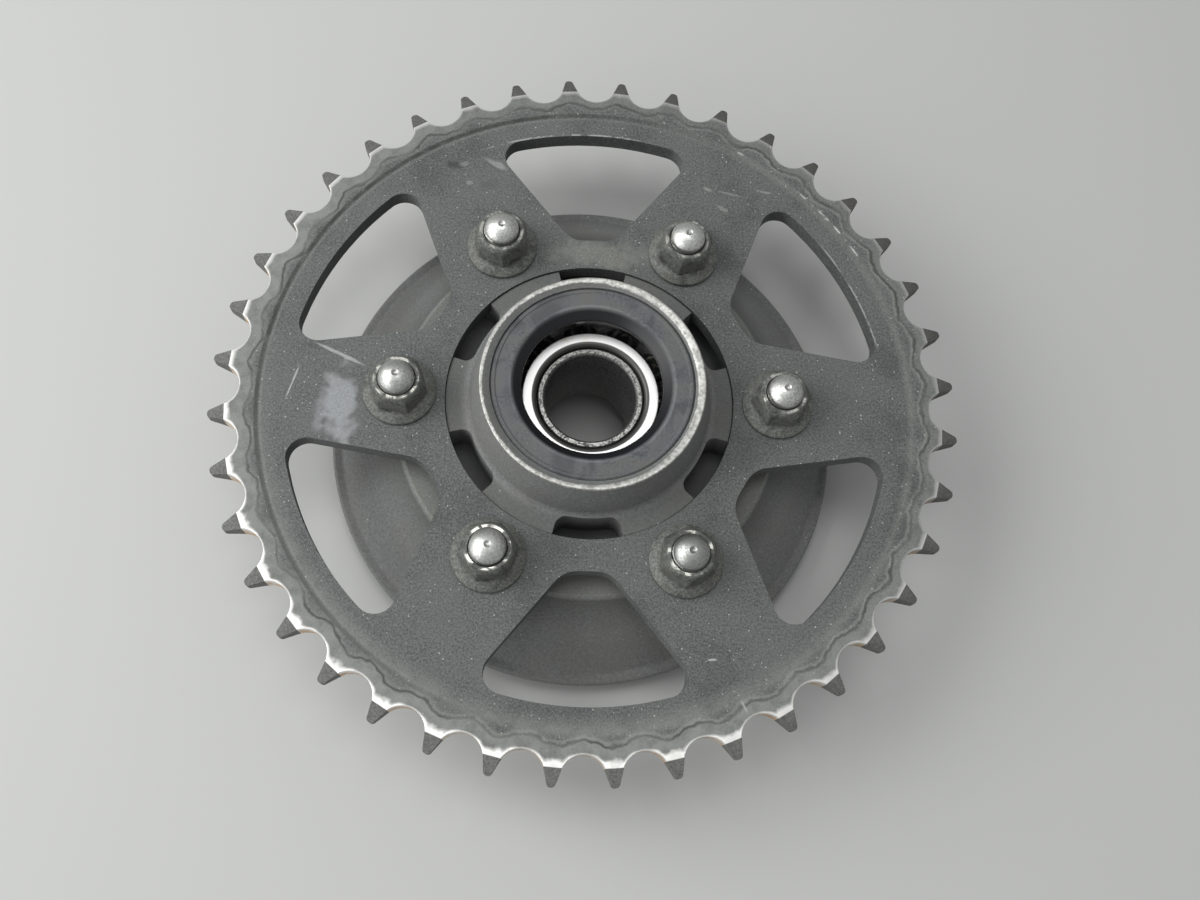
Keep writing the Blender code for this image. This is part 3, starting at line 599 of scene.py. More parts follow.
cup_radius = BALL + CAGE_BALL_CLEAR
strip_inside = BALL_CIRCLE - CAGE_HALF_WIDTH
strip_outside = BALL_CIRCLE + CAGE_HALF_WIDTH
strip_face = CAGE_HALF_GAP + CAGE_STRIP
for name, side in (("upper", 1), ("lower", -1)):
    strip = [(strip_inside, CAGE_HALF_GAP), (strip_outside, CAGE_HALF_GAP)]
    strip += [(strip_outside, strip_face), (strip_inside, strip_face)]
    cage = spun(strip, BALLS * CAGE_STEPS)
    for vert in cage.verts:
        turn = atan2(vert.co.y, vert.co.x) * BALLS / (2 * pi)
        along = (turn - round(turn)) * 2 * pi / BALLS * BALL_CIRCLE
        thick = vert.co.z / MM - CAGE_HALF_GAP
        cup = sqrt(max((cup_radius + thick) ** 2 - along**2, 0))
        vert.co.z = max(cup, CAGE_HALF_GAP + thick) * MM
    for index in range(BALLS):
        turn = 2 * pi * (index + 0.5) / BALLS
        place = Vector((BALL_CIRCLE * cos(turn), BALL_CIRCLE * sin(turn), strip_face)) * MM
        squat = Matrix.Translation(place) @ Matrix.Diagonal((1, 1, RIVET_SQUAT, 1))
        bmesh.ops.create_icosphere(cage, subdivisions=3, radius=RIVET * MM, matrix=squat)
    bmesh.ops.scale(cage, verts=cage.verts, vec=(1, 1, side))
    bmesh.ops.translate(cage, verts=cage.verts, vec=(0, 0, BEARING_MIDDLE * MM))
    fitted(f"ribbon_cage_{name}", cage, strip_steel, "ball_cage", "cage_steel", f"bearing_cage_{name}")


# Spacer sleeve
# A turned steel tube, pushed into the inner race from the wheel's side until its head backs the race.
# It carries the axle, so its bore is plain and its ends are chamfered.
SLEEVE_TOP = 38.8
SLEEVE_RADIUS = 14.7
SLEEVE_BORE = 12.75
SLEEVE_HEAD = 18.0
SLEEVE_CHAMFER = 0.6
sleeve = spun(
    [
        (SLEEVE_BORE + SLEEVE_CHAMFER, SLEEVE_TOP),
        (SLEEVE_RADIUS - SLEEVE_CHAMFER / 2, SLEEVE_TOP),
        (SLEEVE_RADIUS, SLEEVE_TOP - SLEEVE_CHAMFER / 2),
        (SLEEVE_RADIUS, SEAT_FLOOR),
        (SLEEVE_HEAD - SLEEVE_CHAMFER / 2, SEAT_FLOOR),
        (SLEEVE_HEAD, SEAT_FLOOR - SLEEVE_CHAMFER / 2),
        (SLEEVE_HEAD, HUB_END + SLEEVE_CHAMFER),
        (SLEEVE_HEAD - SLEEVE_CHAMFER, HUB_END),
        (SLEEVE_BORE + SLEEVE_CHAMFER, HUB_END),
        (SLEEVE_BORE, HUB_END + SLEEVE_CHAMFER),
        (SLEEVE_BORE, SLEEVE_TOP - SLEEVE_CHAMFER),
    ],
    BEARING_STEPS,
)

# Turned mild steel: grey, with dark specks of grease and rust. The bore is dull, with painted shade near its
# top and painted light lower down.
turned_steel, tree = blank_finish("turned_mild_steel")
here = add(tree, "TexCoord").node.outputs["Object"]
height = add(tree, "SeparateXYZ", {0: here}).node.outputs["Z"]
radius = axis_distance(tree, here)
specks = add(tree, "TexNoise", {"Vector": here, "Scale": 1 / (0.6 * MM), "Detail": 4.0, "Roughness": 0.7})
specks = add(tree, "MapRange", {"Value": specks, "From Min": 0.45, "From Max": 0.62})
colour = tinted(tree, linear("#a3a3a0"), "#4a4945", 1.0, (specks, 0, 1))
# Painted shade near the top of the bore and painted light lower down.
bore = tinted(tree, linear("#303332"), "#80827f", 1.0, (height, 30 * MM, 10 * MM))
in_bore = {"From Min": (SLEEVE_BORE + 0.45) * MM, "From Max": (SLEEVE_BORE + 0.15) * MM, "To Max": 0.85}
in_bore = add(tree, "MapRange", {"Value": radius, **in_bore})
colour = add(tree, "Mix", {"Factor": in_bore, "A": colour, "B": bore}, data_type="RGBA")
roughness = add(tree, "MapRange", {"Value": specks, "To Min": 0.35, "To Max": 0.65})
metallic = add(tree, "MapRange", {"Value": in_bore, "To Min": 0.9, "To Max": 0.1})
bumps = add(tree, "Bump", {"Height": specks, "Strength": 0.2, "Distance": 0.03 * MM})
sleeve_shader = add(
    tree,
    "BsdfPrincipled",
    {"Base Color": colour, "Metallic": metallic, "Roughness": roughness, "Normal": bumps},
)
add(tree, "OutputMaterial", {"Surface": sleeve_shader})
fitted("spacer_tube", sleeve, turned_steel, "inner_race", "sleeve_steel", "spacer_sleeve")


# Dust seal
# A nitrile rubber ring moulded over a steel case and pressed into the nose of the hub, over the bearing.
# Its flat face is dusty, and its lip slopes down to where a wheel collar runs.
SEAL_FACE = 50.4
SEAL_OUTSIDE = 27.7
SEAL_LOW = 43.6
SEAL_BEAD = 26.2
CASE_INSIDE = 25.6
FACE_UNDERSIDE = 48.7
LIP = 19.3
LIP_LOW = 46.6
LIP_ROUND = 0.4
LIP_SLOPE = radians(128)
BEND = 22.8
BEND_ROUND = 1.6
seal = spun(
    [
        (BEND + 0.5, SEAL_FACE),
        (SEAL_BEAD, SEAL_FACE - 0.05),
        (SEAL_BEAD + 0.3, SEAL_FACE + 0.2),
        (SEAL_OUTSIDE - 0.6, SEAL_FACE + 0.2),
        (SEAL_OUTSIDE, SEAL_FACE - 0.3),
        (SEAL_OUTSIDE, SEAL_LOW),
        (CASE_INSIDE, SEAL_LOW),
        (CASE_INSIDE, FACE_UNDERSIDE),
        (BEND - 0.2, FACE_UNDERSIDE),
        (BEND - 1.1, FACE_UNDERSIDE - 0.6),
        (LIP + 1.0, LIP_LOW),
        (LIP + 0.4, LIP_LOW + 0.1),
        (LIP, LIP_LOW + 0.6),
        *arc((LIP + LIP_ROUND, LIP_LOW + 1.1), LIP_ROUND, pi, LIP_SLOPE, 4),
        *arc((BEND, SEAL_FACE - 1.5), BEND_ROUND, LIP_SLOPE, pi / 2, 10),
    ],
    CARRIER_STEPS,
)

# Nitrile rubber, moulded: charcoal under pale dust on the face, with wiped and muddy smudges, and black and
# slightly glossy on the lip. A thin pale line of dust and painted highlight marks where the face bends into
# the lip.
rubber, tree = blank_finish("moulded_nitrile_rubber")
here = add(tree, "TexCoord").node.outputs["Object"]
height = add(tree, "SeparateXYZ", {0: here}).node.outputs["Z"]
radius = axis_distance(tree, here)
dust = add(tree, "TexNoise", {"Vector": here, "Scale": 1 / (0.7 * MM), "Detail": 4.0, "Roughness": 0.6})
dust = add(tree, "MapRange", {"Value": dust, "From Min": 0.3, "From Max": 0.68})
patches = add(tree, "TexNoise", {"Vector": here, "Scale": 1 / (6 * MM), "Detail": 3.0})
smudges = add(tree, "TexNoise", {"Vector": here, "Scale": 1 / (11 * MM), "Detail": 3.0, "Distortion": 1.2})
patchy = (patches, 0.35, 0.65)
face = tinted(tree, linear("#414345"), "#6a6d70", 1.0, (dust, 0, 1))
face = tinted(tree, face, "#5f6162", 1.0, patchy)
face = tinted(tree, face, "#3e4043", 0.6, (smudges, 0.5, 0.62))
face = tinted(tree, face, "#66655d", 0.35, (smudges, 0.48, 0.38))
dusty = {"Value": height, "From Min": (SEAL_FACE - 0.7) * MM, "From Max": (SEAL_FACE - 0.05) * MM}
dusty = add(tree, "MapRange", dusty)
colour = add(tree, "Mix", {"Factor": dusty, "A": linear("#17181b"), "B": face}, data_type="RGBA")
# A thin pale line of dust and painted highlight where the face bends into the lip.
at_bend = (away_from(tree, radius, (BEND - 0.4) * MM), 0.45 * MM, 0.1 * MM)
colour = tinted(tree, colour, "#83868a", 0.45, at_bend, patchy)
roughness = add(tree, "MapRange", {"Value": dusty, "To Min": 0.36, "To Max": 0.75})
bumps = add(tree, "Bump", {"Height": dust, "Strength": 0.3, "Distance": 0.05 * MM})
rubber_shader = add(
    tree, "BsdfPrincipled", {"Base Color": colour, "Roughness": roughness, "IOR": 1.52, "Normal": bumps}
)
add(tree, "OutputMaterial", {"Surface": rubber_shader})
fitted("dust_seal_ring", seal, rubber, "carrier", "seal_rubber", "dust_seal")


# Sprocket
# A ring of 5.8 mm steel plate, blanked with six windows, turned a little thinner inside the rim and cut with
# forty teeth, whose gaps the chain's rollers have worn a little wider. It lies on the stud bosses, round the
# carrier's lands, painted matte black, with the paint rubbed off the tooth roots.
TEETH = 40
CHAIN_PITCH = 15.875
ROLLER_SEAT = 5.23
ROOT_RISE = 0.28
ROOT_ARC = 6.1
ROOT_TURN = radians(69)
TOOTH_HEIGHT = 8.6
TOOTH_FACET = 4.9
TIP_HALF = 1.3
TIP_CORNER = 1.05
ROOT_WEAR = 0.8
PLATE_LOW = 32.6
PLATE_TOP = 38.4
STEP_WIDTH = 3.9
STEP_SLOPE = 1.8
STEP_DEPTH = 0.5
PLATE_BORE = 40.3
WINDOW_INNER = 49.0
RIM_BAND = 11.5
SPOKE_AT_STUDS = 18.0
SPOKE_AT_RIM = 12.95
WINDOW_INNER_CORNER = 8.0
WINDOW_OUTER_CORNER = 5.5
PLATE_EASING = 0.3
PLATE_MERGE = 0.005
NEAR = 0.001 * MM

chain_radius = CHAIN_PITCH / 2 / sin(pi / TEETH)
root_radius = chain_radius - ROLLER_SEAT
gap_radius = root_radius + ROOT_RISE + ROOT_ARC
tip_radius = root_radius + TOOTH_HEIGHT
step_radius = root_radius - STEP_WIDTH
web_radius = step_radius - STEP_SLOPE
web_top = PLATE_TOP - STEP_DEPTH
half_tooth = pi / TEETH

tooth_axis = Vector((cos(half_tooth), sin(half_tooth)))
flank = Vector((sin(ROOT_TURN), cos(ROOT_TURN)))
into_tooth = Vector((-flank.y, flank.x))
root_end = Vector((gap_radius - ROOT_ARC * cos(ROOT_TURN), ROOT_ARC * sin(ROOT_TURN)))
tip_corner = root_end + into_tooth * TIP_CORNER
tip_corner += flank * (tip_radius - TIP_CORNER - tip_corner.dot(tooth_axis)) / flank.dot(tooth_axis)
half_gap = arc((0, 0), step_radius, half_tooth, 0, 3)
half_gap += arc((gap_radius, 0), ROOT_ARC, pi, pi - ROOT_TURN, 9)
half_gap += arc(tip_corner, TIP_CORNER, -ROOT_TURN, half_tooth, 7)
half_gap += [tooth_axis * tip_radius]
plate = prism(half_gap, PLATE_LOW, PLATE_TOP)

gap_middle = Vector((gap_radius, 0)) * MM
root_lines = [
    edge
    for edge in plate.edges
    if all(v.co.z > (PLATE_TOP - 0.01) * MM for v in edge.verts)
    and all(abs((v.co.xy - gap_middle).length - ROOT_ARC * MM) < NEAR for v in edge.verts)
]
eased(plate, root_lines, ROOT_WEAR, 4)
facet_line = tooth_axis * (tip_radius - TOOTH_FACET) * MM
half_plate = (PLATE_TOP - PLATE_LOW) / 2
for side, level in ((1, PLATE_TOP), (-1, PLATE_LOW)):
    slope = Vector((*(tooth_axis * (half_plate - TIP_HALF)), side * TOOTH_FACET)).normalized()
    cut = bmesh.ops.bisect_plane(
        plate,
        geom=everything(plate),
        plane_co=(facet_line.x, facet_line.y, level * MM),
        plane_no=slope,
        clear_outer=True,
    )
    rim_lines = [item for item in cut["geom_cut"] if isinstance(item, bmesh.types.BMEdge)]
    bmesh.ops.holes_fill(plate, edges=rim_lines)


def inside_walls(shape, turn, radius):
    """The faces of a half sector that its neighbours cover: on its two middle planes and at one radius."""
    across = Vector((-sin(turn), cos(turn)))
    on_plane = NEAR / 10
    covered = []
    for face in shape.faces:
        places = [vert.co.xy for vert in face.verts]
        first = all(abs(place.y) < on_plane for place in places)
        second = all(abs(place.dot(across)) < on_plane for place in places)
        if first or second or all(abs(place.length - radius * MM) < NEAR for place in places):
            covered.append(face)
    return covered


bmesh.ops.delete(plate, geom=inside_walls(plate, half_tooth, step_radius), context="FACES")
inner_lines = [
    edge for edge in plate.edges if all(abs(v.co.xy.length - step_radius * MM) < NEAR for v in edge.verts)
]
strip = bmesh.ops.extrude_edge_only(plate, edges=inner_lines)["geom"]
for vert in [item for item in strip if isinstance(item, bmesh.types.BMVert)]:
    vert.co.xy *= web_radius / step_radius
    vert.co.z = min(vert.co.z, web_top * MM)
bmesh.ops.mirror(plate, geom=everything(plate), matrix=Matrix.Identity(4), merge_dist=NEAR, axis="Y")
round_the_axis(plate, TEETH)

half_sector = pi / SPOKES
window_outer = root_radius - RIM_BAND
spoke_axis = Vector((cos(half_sector), sin(half_sector)))
spoke_across = Vector((-sin(half_sector), cos(half_sector)))
taper = (SPOKE_AT_RIM - SPOKE_AT_STUDS) / (window_outer - STUD_CIRCLE)
spoke_start = spoke_axis * STUD_CIRCLE - spoke_across * SPOKE_AT_STUDS
spoke_side = (spoke_axis - spoke_across * taper).normalized()
into_spoke = Vector((-spoke_side.y, spoke_side.x))
bend = tan(acos(spoke_side.y) / 2)
corner_y = spoke_start.y + (WINDOW_INNER - spoke_start.x) * spoke_side.y / spoke_side.x
inner_corner = (WINDOW_INNER + WINDOW_INNER_CORNER, corner_y - WINDOW_INNER_CORNER * bend)
base = spoke_start - into_spoke * WINDOW_OUTER_CORNER
reach = window_outer - WINDOW_OUTER_CORNER
travel = -base.dot(spoke_side) + sqrt(base.dot(spoke_side) ** 2 - base.length_squared + reach**2)
outer_corner = base + spoke_side * travel
side_turn = atan2(into_spoke.y, into_spoke.x)
end_turn = atan2(outer_corner.y, outer_corner.x)
half_window = [(WINDOW_INNER, 0)]
half_window += arc(inner_corner, WINDOW_INNER_CORNER, pi, side_turn, 14)
half_window += arc(outer_corner, WINDOW_OUTER_CORNER, side_turn, end_turn, 14)
half_window += arc((0, 0), window_outer, end_turn, 0, 12)[1:]

half_spoke = arc((0, 0), PLATE_BORE, half_sector, 0, 20)
half_spoke += arc((STUD_CIRCLE, 0), STUD_HOLE, pi, 0, 16)
half_spoke += arc((0, 0), web_radius, 0, half_sector, 20)
sector_turn = Matrix.Rotation(half_sector, 2)
half_spoke += [sector_turn @ Vector((x, -y)) for x, y in reversed(half_window)]
web = prism(half_spoke, PLATE_LOW, web_top)
bmesh.ops.delete(web, geom=inside_walls(web, half_sector, web_radius), context="FACES")
bmesh.ops.mirror(web, geom=everything(web), matrix=Matrix.Identity(4), merge_dist=NEAR, axis="Y")
round_the_axis(web, SPOKES)
web_mesh = bpy.data.meshes.new("web")
web.to_mesh(web_mesh)
web.free()
plate.from_mesh(web_mesh)
bpy.data.meshes.remove(web_mesh)
bmesh.ops.remove_doubles(plate, verts=plate.verts, dist=PLATE_MERGE * MM)
bmesh.ops.recalc_face_normals(plate, faces=plate.faces)
eased(plate, sharp_edges(plate), PLATE_EASING, 2)

# Matte black paint, years old: chalky grey with dust, finely mottled, with sooty patches and pale specks. The
# chain's side plates have burnished the rim and left a wavy line of grease, and its rollers keep the tooth
# roots bare and bright.
plate_paint, tree = blank_finish("matte_paint_on_steel_plate")
here = add(tree, "TexCoord").node.outputs["Object"]
facing = add(tree, "SeparateXYZ", {0: here.node.outputs["Normal"]}).node.outputs
upward = facing["Z"]
x, y, height = add(tree, "SeparateXYZ", {0: here}).node.outputs
radius = axis_distance(tree, here)
angle = add(tree, "Math", {0: y, 1: x}, operation="ARCTAN2")
grain = add(tree, "TexNoise", {"Vector": here, "Scale": 1 / (0.55 * MM), "Detail": 4.0, "Roughness": 0.7})
clouds = add(tree, "TexNoise", {"Vector": here, "Scale": 1 / (16 * MM), "Detail": 4.0, "Roughness": 0.6})
wobble = add(tree, "TexNoise", {"Vector": here, "Scale": 1 / (3 * MM), "Detail": 3.0})
mottle = add(tree, "MapRange", {"Value": grain, "From Min": 0.36, "From Max": 0.66})
colour = tinted(tree, linear("#363837"), "#737574", 1.0, (mottle, 0, 1))
colour = tinted(tree, colour, "#6a6c6a", 0.4, (clouds, 0.35, 0.68))
colour = tinted(tree, colour, "#3e4040", 0.35, (clouds, 0.46, 0.34))
specks = add(tree, "TexVoronoi", {"Vector": here, "Scale": 1 / (1.05 * MM), "Randomness": 1.0})
speck_pick = add(tree, "SeparateColor", {0: specks.node.outputs["Color"]})
speck_size = add(tree, "MapRange", {"Value": speck_pick, "From Min": 0.64, "From Max": 1.0, "To Max": 0.19})
speckled = add(tree, "Math", {0: specks, 1: speck_size}, operation="LESS_THAN")
colour = tinted(tree, colour, "#b4b6b3", 1.0, (speckled, 0, 1))

# Painted shade: the walls of the windows and gaps are darker the more they face right, away from the lamp at
# the left. The upper edges of the windows carry a pale painted highlight in places.
# Painted shade: walls facing right, away from the lamp at the left, are darker.
wall_shade_by_facing = {"Value": facing["X"], "From Min": -0.7, "From Max": 0.7, "To Min": 0.05, "To Max": 0.75}
wall_shade_by_facing = add(tree, "MapRange", wall_shade_by_facing)
colour = tinted(tree, colour, "#3b3c3c", wall_shade_by_facing, (upward, 0.75, 0.35))
# A pale painted highlight on the rounded upper edges of the windows, inside the rim.
off_face = (upward, 0.95, 0.85)
off_wall = (upward, 0.3, 0.5)
inside_rim = (radius, 90.5 * MM, 89.5 * MM)
colour = tinted(tree, colour, "#94968f", 0.7, off_face, off_wall, (clouds, 0.42, 0.55), inside_rim)

# Where a point lies in its tooth gap: its share of a pitch from the middle, and its way to the arc's centre.
pitches = add(tree, "Math", {0: angle, 1: TEETH / (2 * pi)}, operation="MULTIPLY")
share = add(tree, "Math", {0: pitches, 1: 0.5, 2: -0.5}, operation="WRAP")
turn = add(tree, "Math", {0: share, 1: 2 * pi / TEETH}, operation="MULTIPLY")
across = add(tree, "Math", {0: turn}, operation="SINE")
across = add(tree, "Math", {0: across, 1: radius}, operation="MULTIPLY")
outward = add(tree, "Math", {0: turn}, operation="COSINE")
outward = add(tree, "Math", {0: outward, 1: radius, 2: -gap_radius * MM}, operation="MULTIPLY_ADD")
from_roller = add(tree, "CombineXYZ", {"X": outward, "Y": across})
from_roller = add(tree, "VectorMath", {0: from_roller}, operation="LENGTH").node.outputs["Value"]


def side_share(tree, angle, middle, none_at, all_at, least=0.0):
    """How much a place on the rim belongs to the side round a middle angle in degrees."""
    turned = add(tree, "Math", {0: angle, 1: radians(-middle)}, operation="ADD")
    turned = add(tree, "Math", {0: turned}, operation="COSINE")
    return add(tree, "MapRange", {"Value": turned, "From Min": none_at, "From Max": all_at, "To Min": least})


# On the lower left the rim's bare steel is brightest and its burnish lighter and wider: partly wear and
# partly painted reflection and light. The wear reaches furthest on the near side.
lit_and_worn_side = side_share(tree, angle, -140, -0.9, 0.3)
deep_wear = side_share(tree, angle, -110, 0.1, 0.8)
left_side = side_share(tree, angle, 160, -0.2, 0.6, 0.1)
right_side = add(tree, "MapRange", {"Value": left_side, "From Min": 0.6, "From Max": 0.1})

# The chain's side plates burnish the rim past a wavy line of grease, which has a pale painted highlight
# beside it on the right. On the left the step is dark with dirt and painted shade, with a pale painted
# highlight inside it; on the right the step has a pale painted highlight, and on the near side it is rubbed
# pale.
wave = add(tree, "Math", {0: share, 1: 2 * pi}, operation="MULTIPLY")
wave = add(tree, "Math", {0: wave}, operation="COSINE")
line = add(tree, "Math", {0: wave, 1: -1.0 * MM, 2: 93.8 * MM}, operation="MULTIPLY_ADD")
line = add(tree, "Math", {0: wobble, 1: 2.4 * MM, 2: line}, operation="MULTIPLY_ADD")
line = add(tree, "Math", {0: lit_and_worn_side, 1: -1.5 * MM, 2: line}, operation="MULTIPLY_ADD")
past_line = add(tree, "Math", {0: radius, 1: line}, operation="SUBTRACT")
# The burnish is painted lighter on the lower left: wear with painted light.
burnish = add(tree, "MapRange", {"Value": lit_and_worn_side, "To Min": 0.25, "To Max": 0.75})
uneven = add(tree, "MapRange", {"Value": wobble, "From Min": 0.3, "From Max": 0.6, "To Min": 0.5})
colour = tinted(tree, colour, "#8f918d", burnish, (past_line, -2.0 * MM, 0.7 * MM), (uneven, 0, 1))
line_reach = add(tree, "MapRange", {"Value": lit_and_worn_side, "To Min": 0.8 * MM, "To Max": 0.6 * MM})
line_breaks = add(tree, "MapRange", {"Value": clouds, "From Min": 0.42, "From Max": 0.58, "To Min": 0.4})
near_line = (away_from(tree, past_line, 0), line_reach, 0.1 * MM)
colour = tinted(tree, colour, "#393b37", 0.85, near_line, (line_breaks, 0, 1))
# In turn: dirt and painted shade, painted highlight, painted highlight, rubbed, painted highlight.
for way, middle, core, reach, strength, shade, side in (
    (radius, 91.3, 0.35, 0.75, 0.9, "#2b2d28", left_side),
    (radius, 90.2, 0.1, 0.5, 0.3, "#8a8c88", left_side),
    (radius, 91.2, 0.1, 1.5, 0.32, "#90938d", right_side),
    (radius, 89.8, 0.1, 3.5, 0.4, "#8c8e8a", deep_wear),
    (past_line, -0.85, 0.1, 0.55, 0.3, "#9b9d97", right_side),
):
    in_line = (away_from(tree, way, middle * MM), reach * MM, core * MM)
    colour = tinted(tree, colour, shade, strength, in_line, (side, 0, 1), (uneven, 0, 1))

# The sloped sides of the tooth tips keep their paint, which is darker and browner away from the lower left.
from_gap = add(tree, "Math", {0: share}, operation="ABSOLUTE")
tooth_way = add(tree, "Math", {0: from_gap, 1: -2 * pi / TEETH, 2: half_tooth}, operation="MULTIPLY_ADD")
tooth_way = add(tree, "Math", {0: tooth_way}, operation="COSINE")
tooth_way = add(tree, "Math", {0: tooth_way, 1: radius}, operation="MULTIPLY")
facet_base = (tip_radius - TOOTH_FACET) * MM
on_facet = {"Value": tooth_way, "From Min": facet_base, "From Max": facet_base + 0.15 * MM}
on_facet = add(tree, "MapRange", on_facet)
facet_paint = tinted(tree, linear("#4c4d4a"), "#767773", 1.0, (mottle, 0, 1))
facet_paint = tinted(tree, facet_paint, "#3a3734", 0.65, (lit_and_worn_side, 1, 0))
colour = add(tree, "Mix", {"Factor": on_facet, "A": colour, "B": facet_paint}, data_type="RGBA")

# Bare steel: the roller seats, the edge above them, and the flat at each tooth's base. Rust tints the lower
# walls.
from_seat = add(tree, "Math", {0: from_roller, 1: -ROOT_ARC * MM}, operation="ADD")
from_facet = add(tree, "Math", {0: tooth_way, 1: -0.5, 2: 0.5 * facet_base}, operation="MULTIPLY_ADD")
from_edge = add(tree, "Math", {0: from_seat, 1: from_facet, 2: 0.6 * MM}, operation="SMOOTH_MIN")
wear_reach = add(tree, "MapRange", {"Value": deep_wear, "To Min": 0.3 * MM, "To Max": 1.0 * MM})
wear_reach = add(tree, "Math", {0: wear_reach, 1: wobble}, operation="MULTIPLY")
spread = {"Value": from_gap, "From Min": 0.1, "From Max": 0.4, "To Min": 0.2, "To Max": 1.5}
spread = add(tree, "MapRange", spread)
wear_reach = add(tree, "Math", {0: wear_reach, 1: spread}, operation="MULTIPLY")
past_wear = add(tree, "Math", {0: from_edge, 1: wear_reach}, operation="SUBTRACT")
# The bare steel is mixed in fully on the lower left and only faintly elsewhere: wear with painted reflection.
bright = add(tree, "MapRange", {"Value": lit_and_worn_side, "To Min": 0.22})
worn = {"Value": radius, "From Min": 93.5 * MM, "From Max": 94.5 * MM, "To Max": bright}
worn = add(tree, "MapRange", worn)
worn = add(tree, "MapRange", {"Value": on_facet, "From Min": 1.0, "From Max": 0.0, "To Max": worn})
worn = {"Value": past_wear, "From Min": 0.45 * MM, "From Max": -0.2 * MM, "To Max": worn}
worn = add(tree, "MapRange", worn)
rust = {"Value": wobble, "From Min": 0.4, "From Max": 0.55, "To Min": 0.4, "To Max": 0.95}
rust = add(tree, "MapRange", rust)
down_the_wall = {"From Min": (PLATE_TOP - 0.8) * MM, "From Max": (PLATE_TOP - 2.0) * MM, "To Max": rust}
rust = add(tree, "MapRange", {"Value": height, **down_the_wall})
steel = tinted(tree, linear("#ebeae6"), "#bd9767", 1.0, (rust, 0, 1))
colour = add(tree, "Mix", {"Factor": worn, "A": colour, "B": steel}, data_type="RGBA")

# Handling marks and a patch of dust at the far side of the centre hole, which comes last: each is a place and
# turn on the face, a half length and a half width, and what shows there.
mark_breaks = add(tree, "MapRange", {"Value": mottle, "To Min": 0.65})
mark_breaks = {"Value": upward, "From Min": 0.2, "From Max": 0.6, "To Max": mark_breaks}
mark_breaks = add(tree, "MapRange", mark_breaks)
for mark_x, mark_y, mark_turn, half_length, half_width, strength, shade in (
    (-68.6, -4.8, 92, 11.5, 4.5, 0.8, "#a3a6a8"),
    (-73.5, -5.5, 80, 6.0, 2.0, 0.5, "#9a9da0"),
    (-69.2, 10.2, 156, 8.5, 0.5, 0.75, "#b4b6b5"),
    (-82.1, 1.4, 74, 4.8, 0.25, 0.8, "#b9bbba"),
    (-29.3, 73.2, 153, 4.2, 1.1, 0.6, "#a3a5a4"),
    (-41.4, 72.4, 170, 2.6, 1.4, 0.8, "#303130"),
    (-38.4, 72.8, 10, 1.9, 0.9, 0.5, "#8d9093"),
    (-36.9, 66.4, 0, 1.2, 1.0, 0.6, "#939593"),
    (-30.5, 66.5, 20, 4.0, 2.0, 0.3, "#3a3b3a"),
    (44.4, 80.6, 152, 1.3, 0.4, 0.75, "#b0b2b0"),
    (34.0, 68.1, 160, 1.6, 0.6, 0.6, "#9ea09c"),
    (38.1, 62.0, 150, 1.9, 0.6, 0.5, "#9ea09c"),
    (41.5, 66.8, 168, 4.8, 0.3, 0.5, "#989a96"),
    (51.5, 68.1, 172, 2.6, 0.35, 0.6, "#a0a29e"),
    (47.7, 65.4, 30, 3.0, 1.6, 0.45, "#444643"),
    (41.2, -83.5, 115, 2.0, 0.35, 0.8, "#b4b6b4"),
    (33.0, -71.6, 5, 1.2, 0.3, 0.8, "#c0c2c0"),
    (3.0, 44.8, 0, 16.0, 4.5, 0.5, "#8e8f86"),
):
    place = {"Location": (mark_x * MM, mark_y * MM, 0), "Rotation": (0, 0, radians(mark_turn))}
    turned = add(tree, "Mapping", {"Vector": here, **place}, vector_type="TEXTURE")
    shrink = (1 / (half_length * MM), 1 / (half_width * MM), 0)
    scaled = add(tree, "VectorMath", {0: turned, 1: shrink}, operation="MULTIPLY")
    away = add(tree, "VectorMath", {0: scaled}, operation="LENGTH").node.outputs["Value"]
    ragged = add(tree, "Math", {0: grain, 1: 1.2, 2: away}, operation="MULTIPLY_ADD")
    ragged = add(tree, "Math", {0: wobble, 1: 1.6, 2: ragged}, operation="MULTIPLY_ADD")
    colour = tinted(tree, colour, shade, strength, (ragged, 2.5, 2.0), (mark_breaks, 0, 1))

# Pale lines that follow the rim and the far edges of two windows: a radius, a middle angle and half its span
# in degrees, and a shade. The first, on the step's edge at the upper right, is a painted highlight; the other
# two are rubbed.
for line_radius, middle, half_span, shade in (
    (91.9, 39, 10, "#c9cac8"),
    (84.75, 97, 17, "#a4a6a3"),
    (84.75, 25, 13, "#9a9c99"),
):
    on_line = (away_from(tree, radius, line_radius * MM), 0.35 * MM, 0.1 * MM)
    in_span = (away_from(tree, angle, radians(middle)), radians(half_span), radians(half_span - 3))
    colour = tinted(tree, colour, shade, 1.0, on_line, in_span, (mark_breaks, 0, 1), (wobble, 0.42, 0.55))

roughness = add(tree, "MapRange", {"Value": worn, "To Min": 0.66, "To Max": 0.36})
clean = add(tree, "MapRange", {"Value": rust, "To Min": 0.75, "To Max": 0.1})
metallic = add(tree, "Math", {0: worn, 1: clean}, operation="MULTIPLY")
bumps = add(tree, "Bump", {"Height": grain, "Strength": 0.35, "Distance": 0.06 * MM})
plate_shader = add(
    tree,
    "BsdfPrincipled",
    {"Base Color": colour, "Metallic": metallic, "Roughness": roughness, "IOR": 1.5, "Normal": bumps},
)
add(tree, "OutputMaterial", {"Surface": plate_shader})
fitted("sprocket_plate", plate, plate_paint, "carrier", "sprocket_paint", "sprocket")


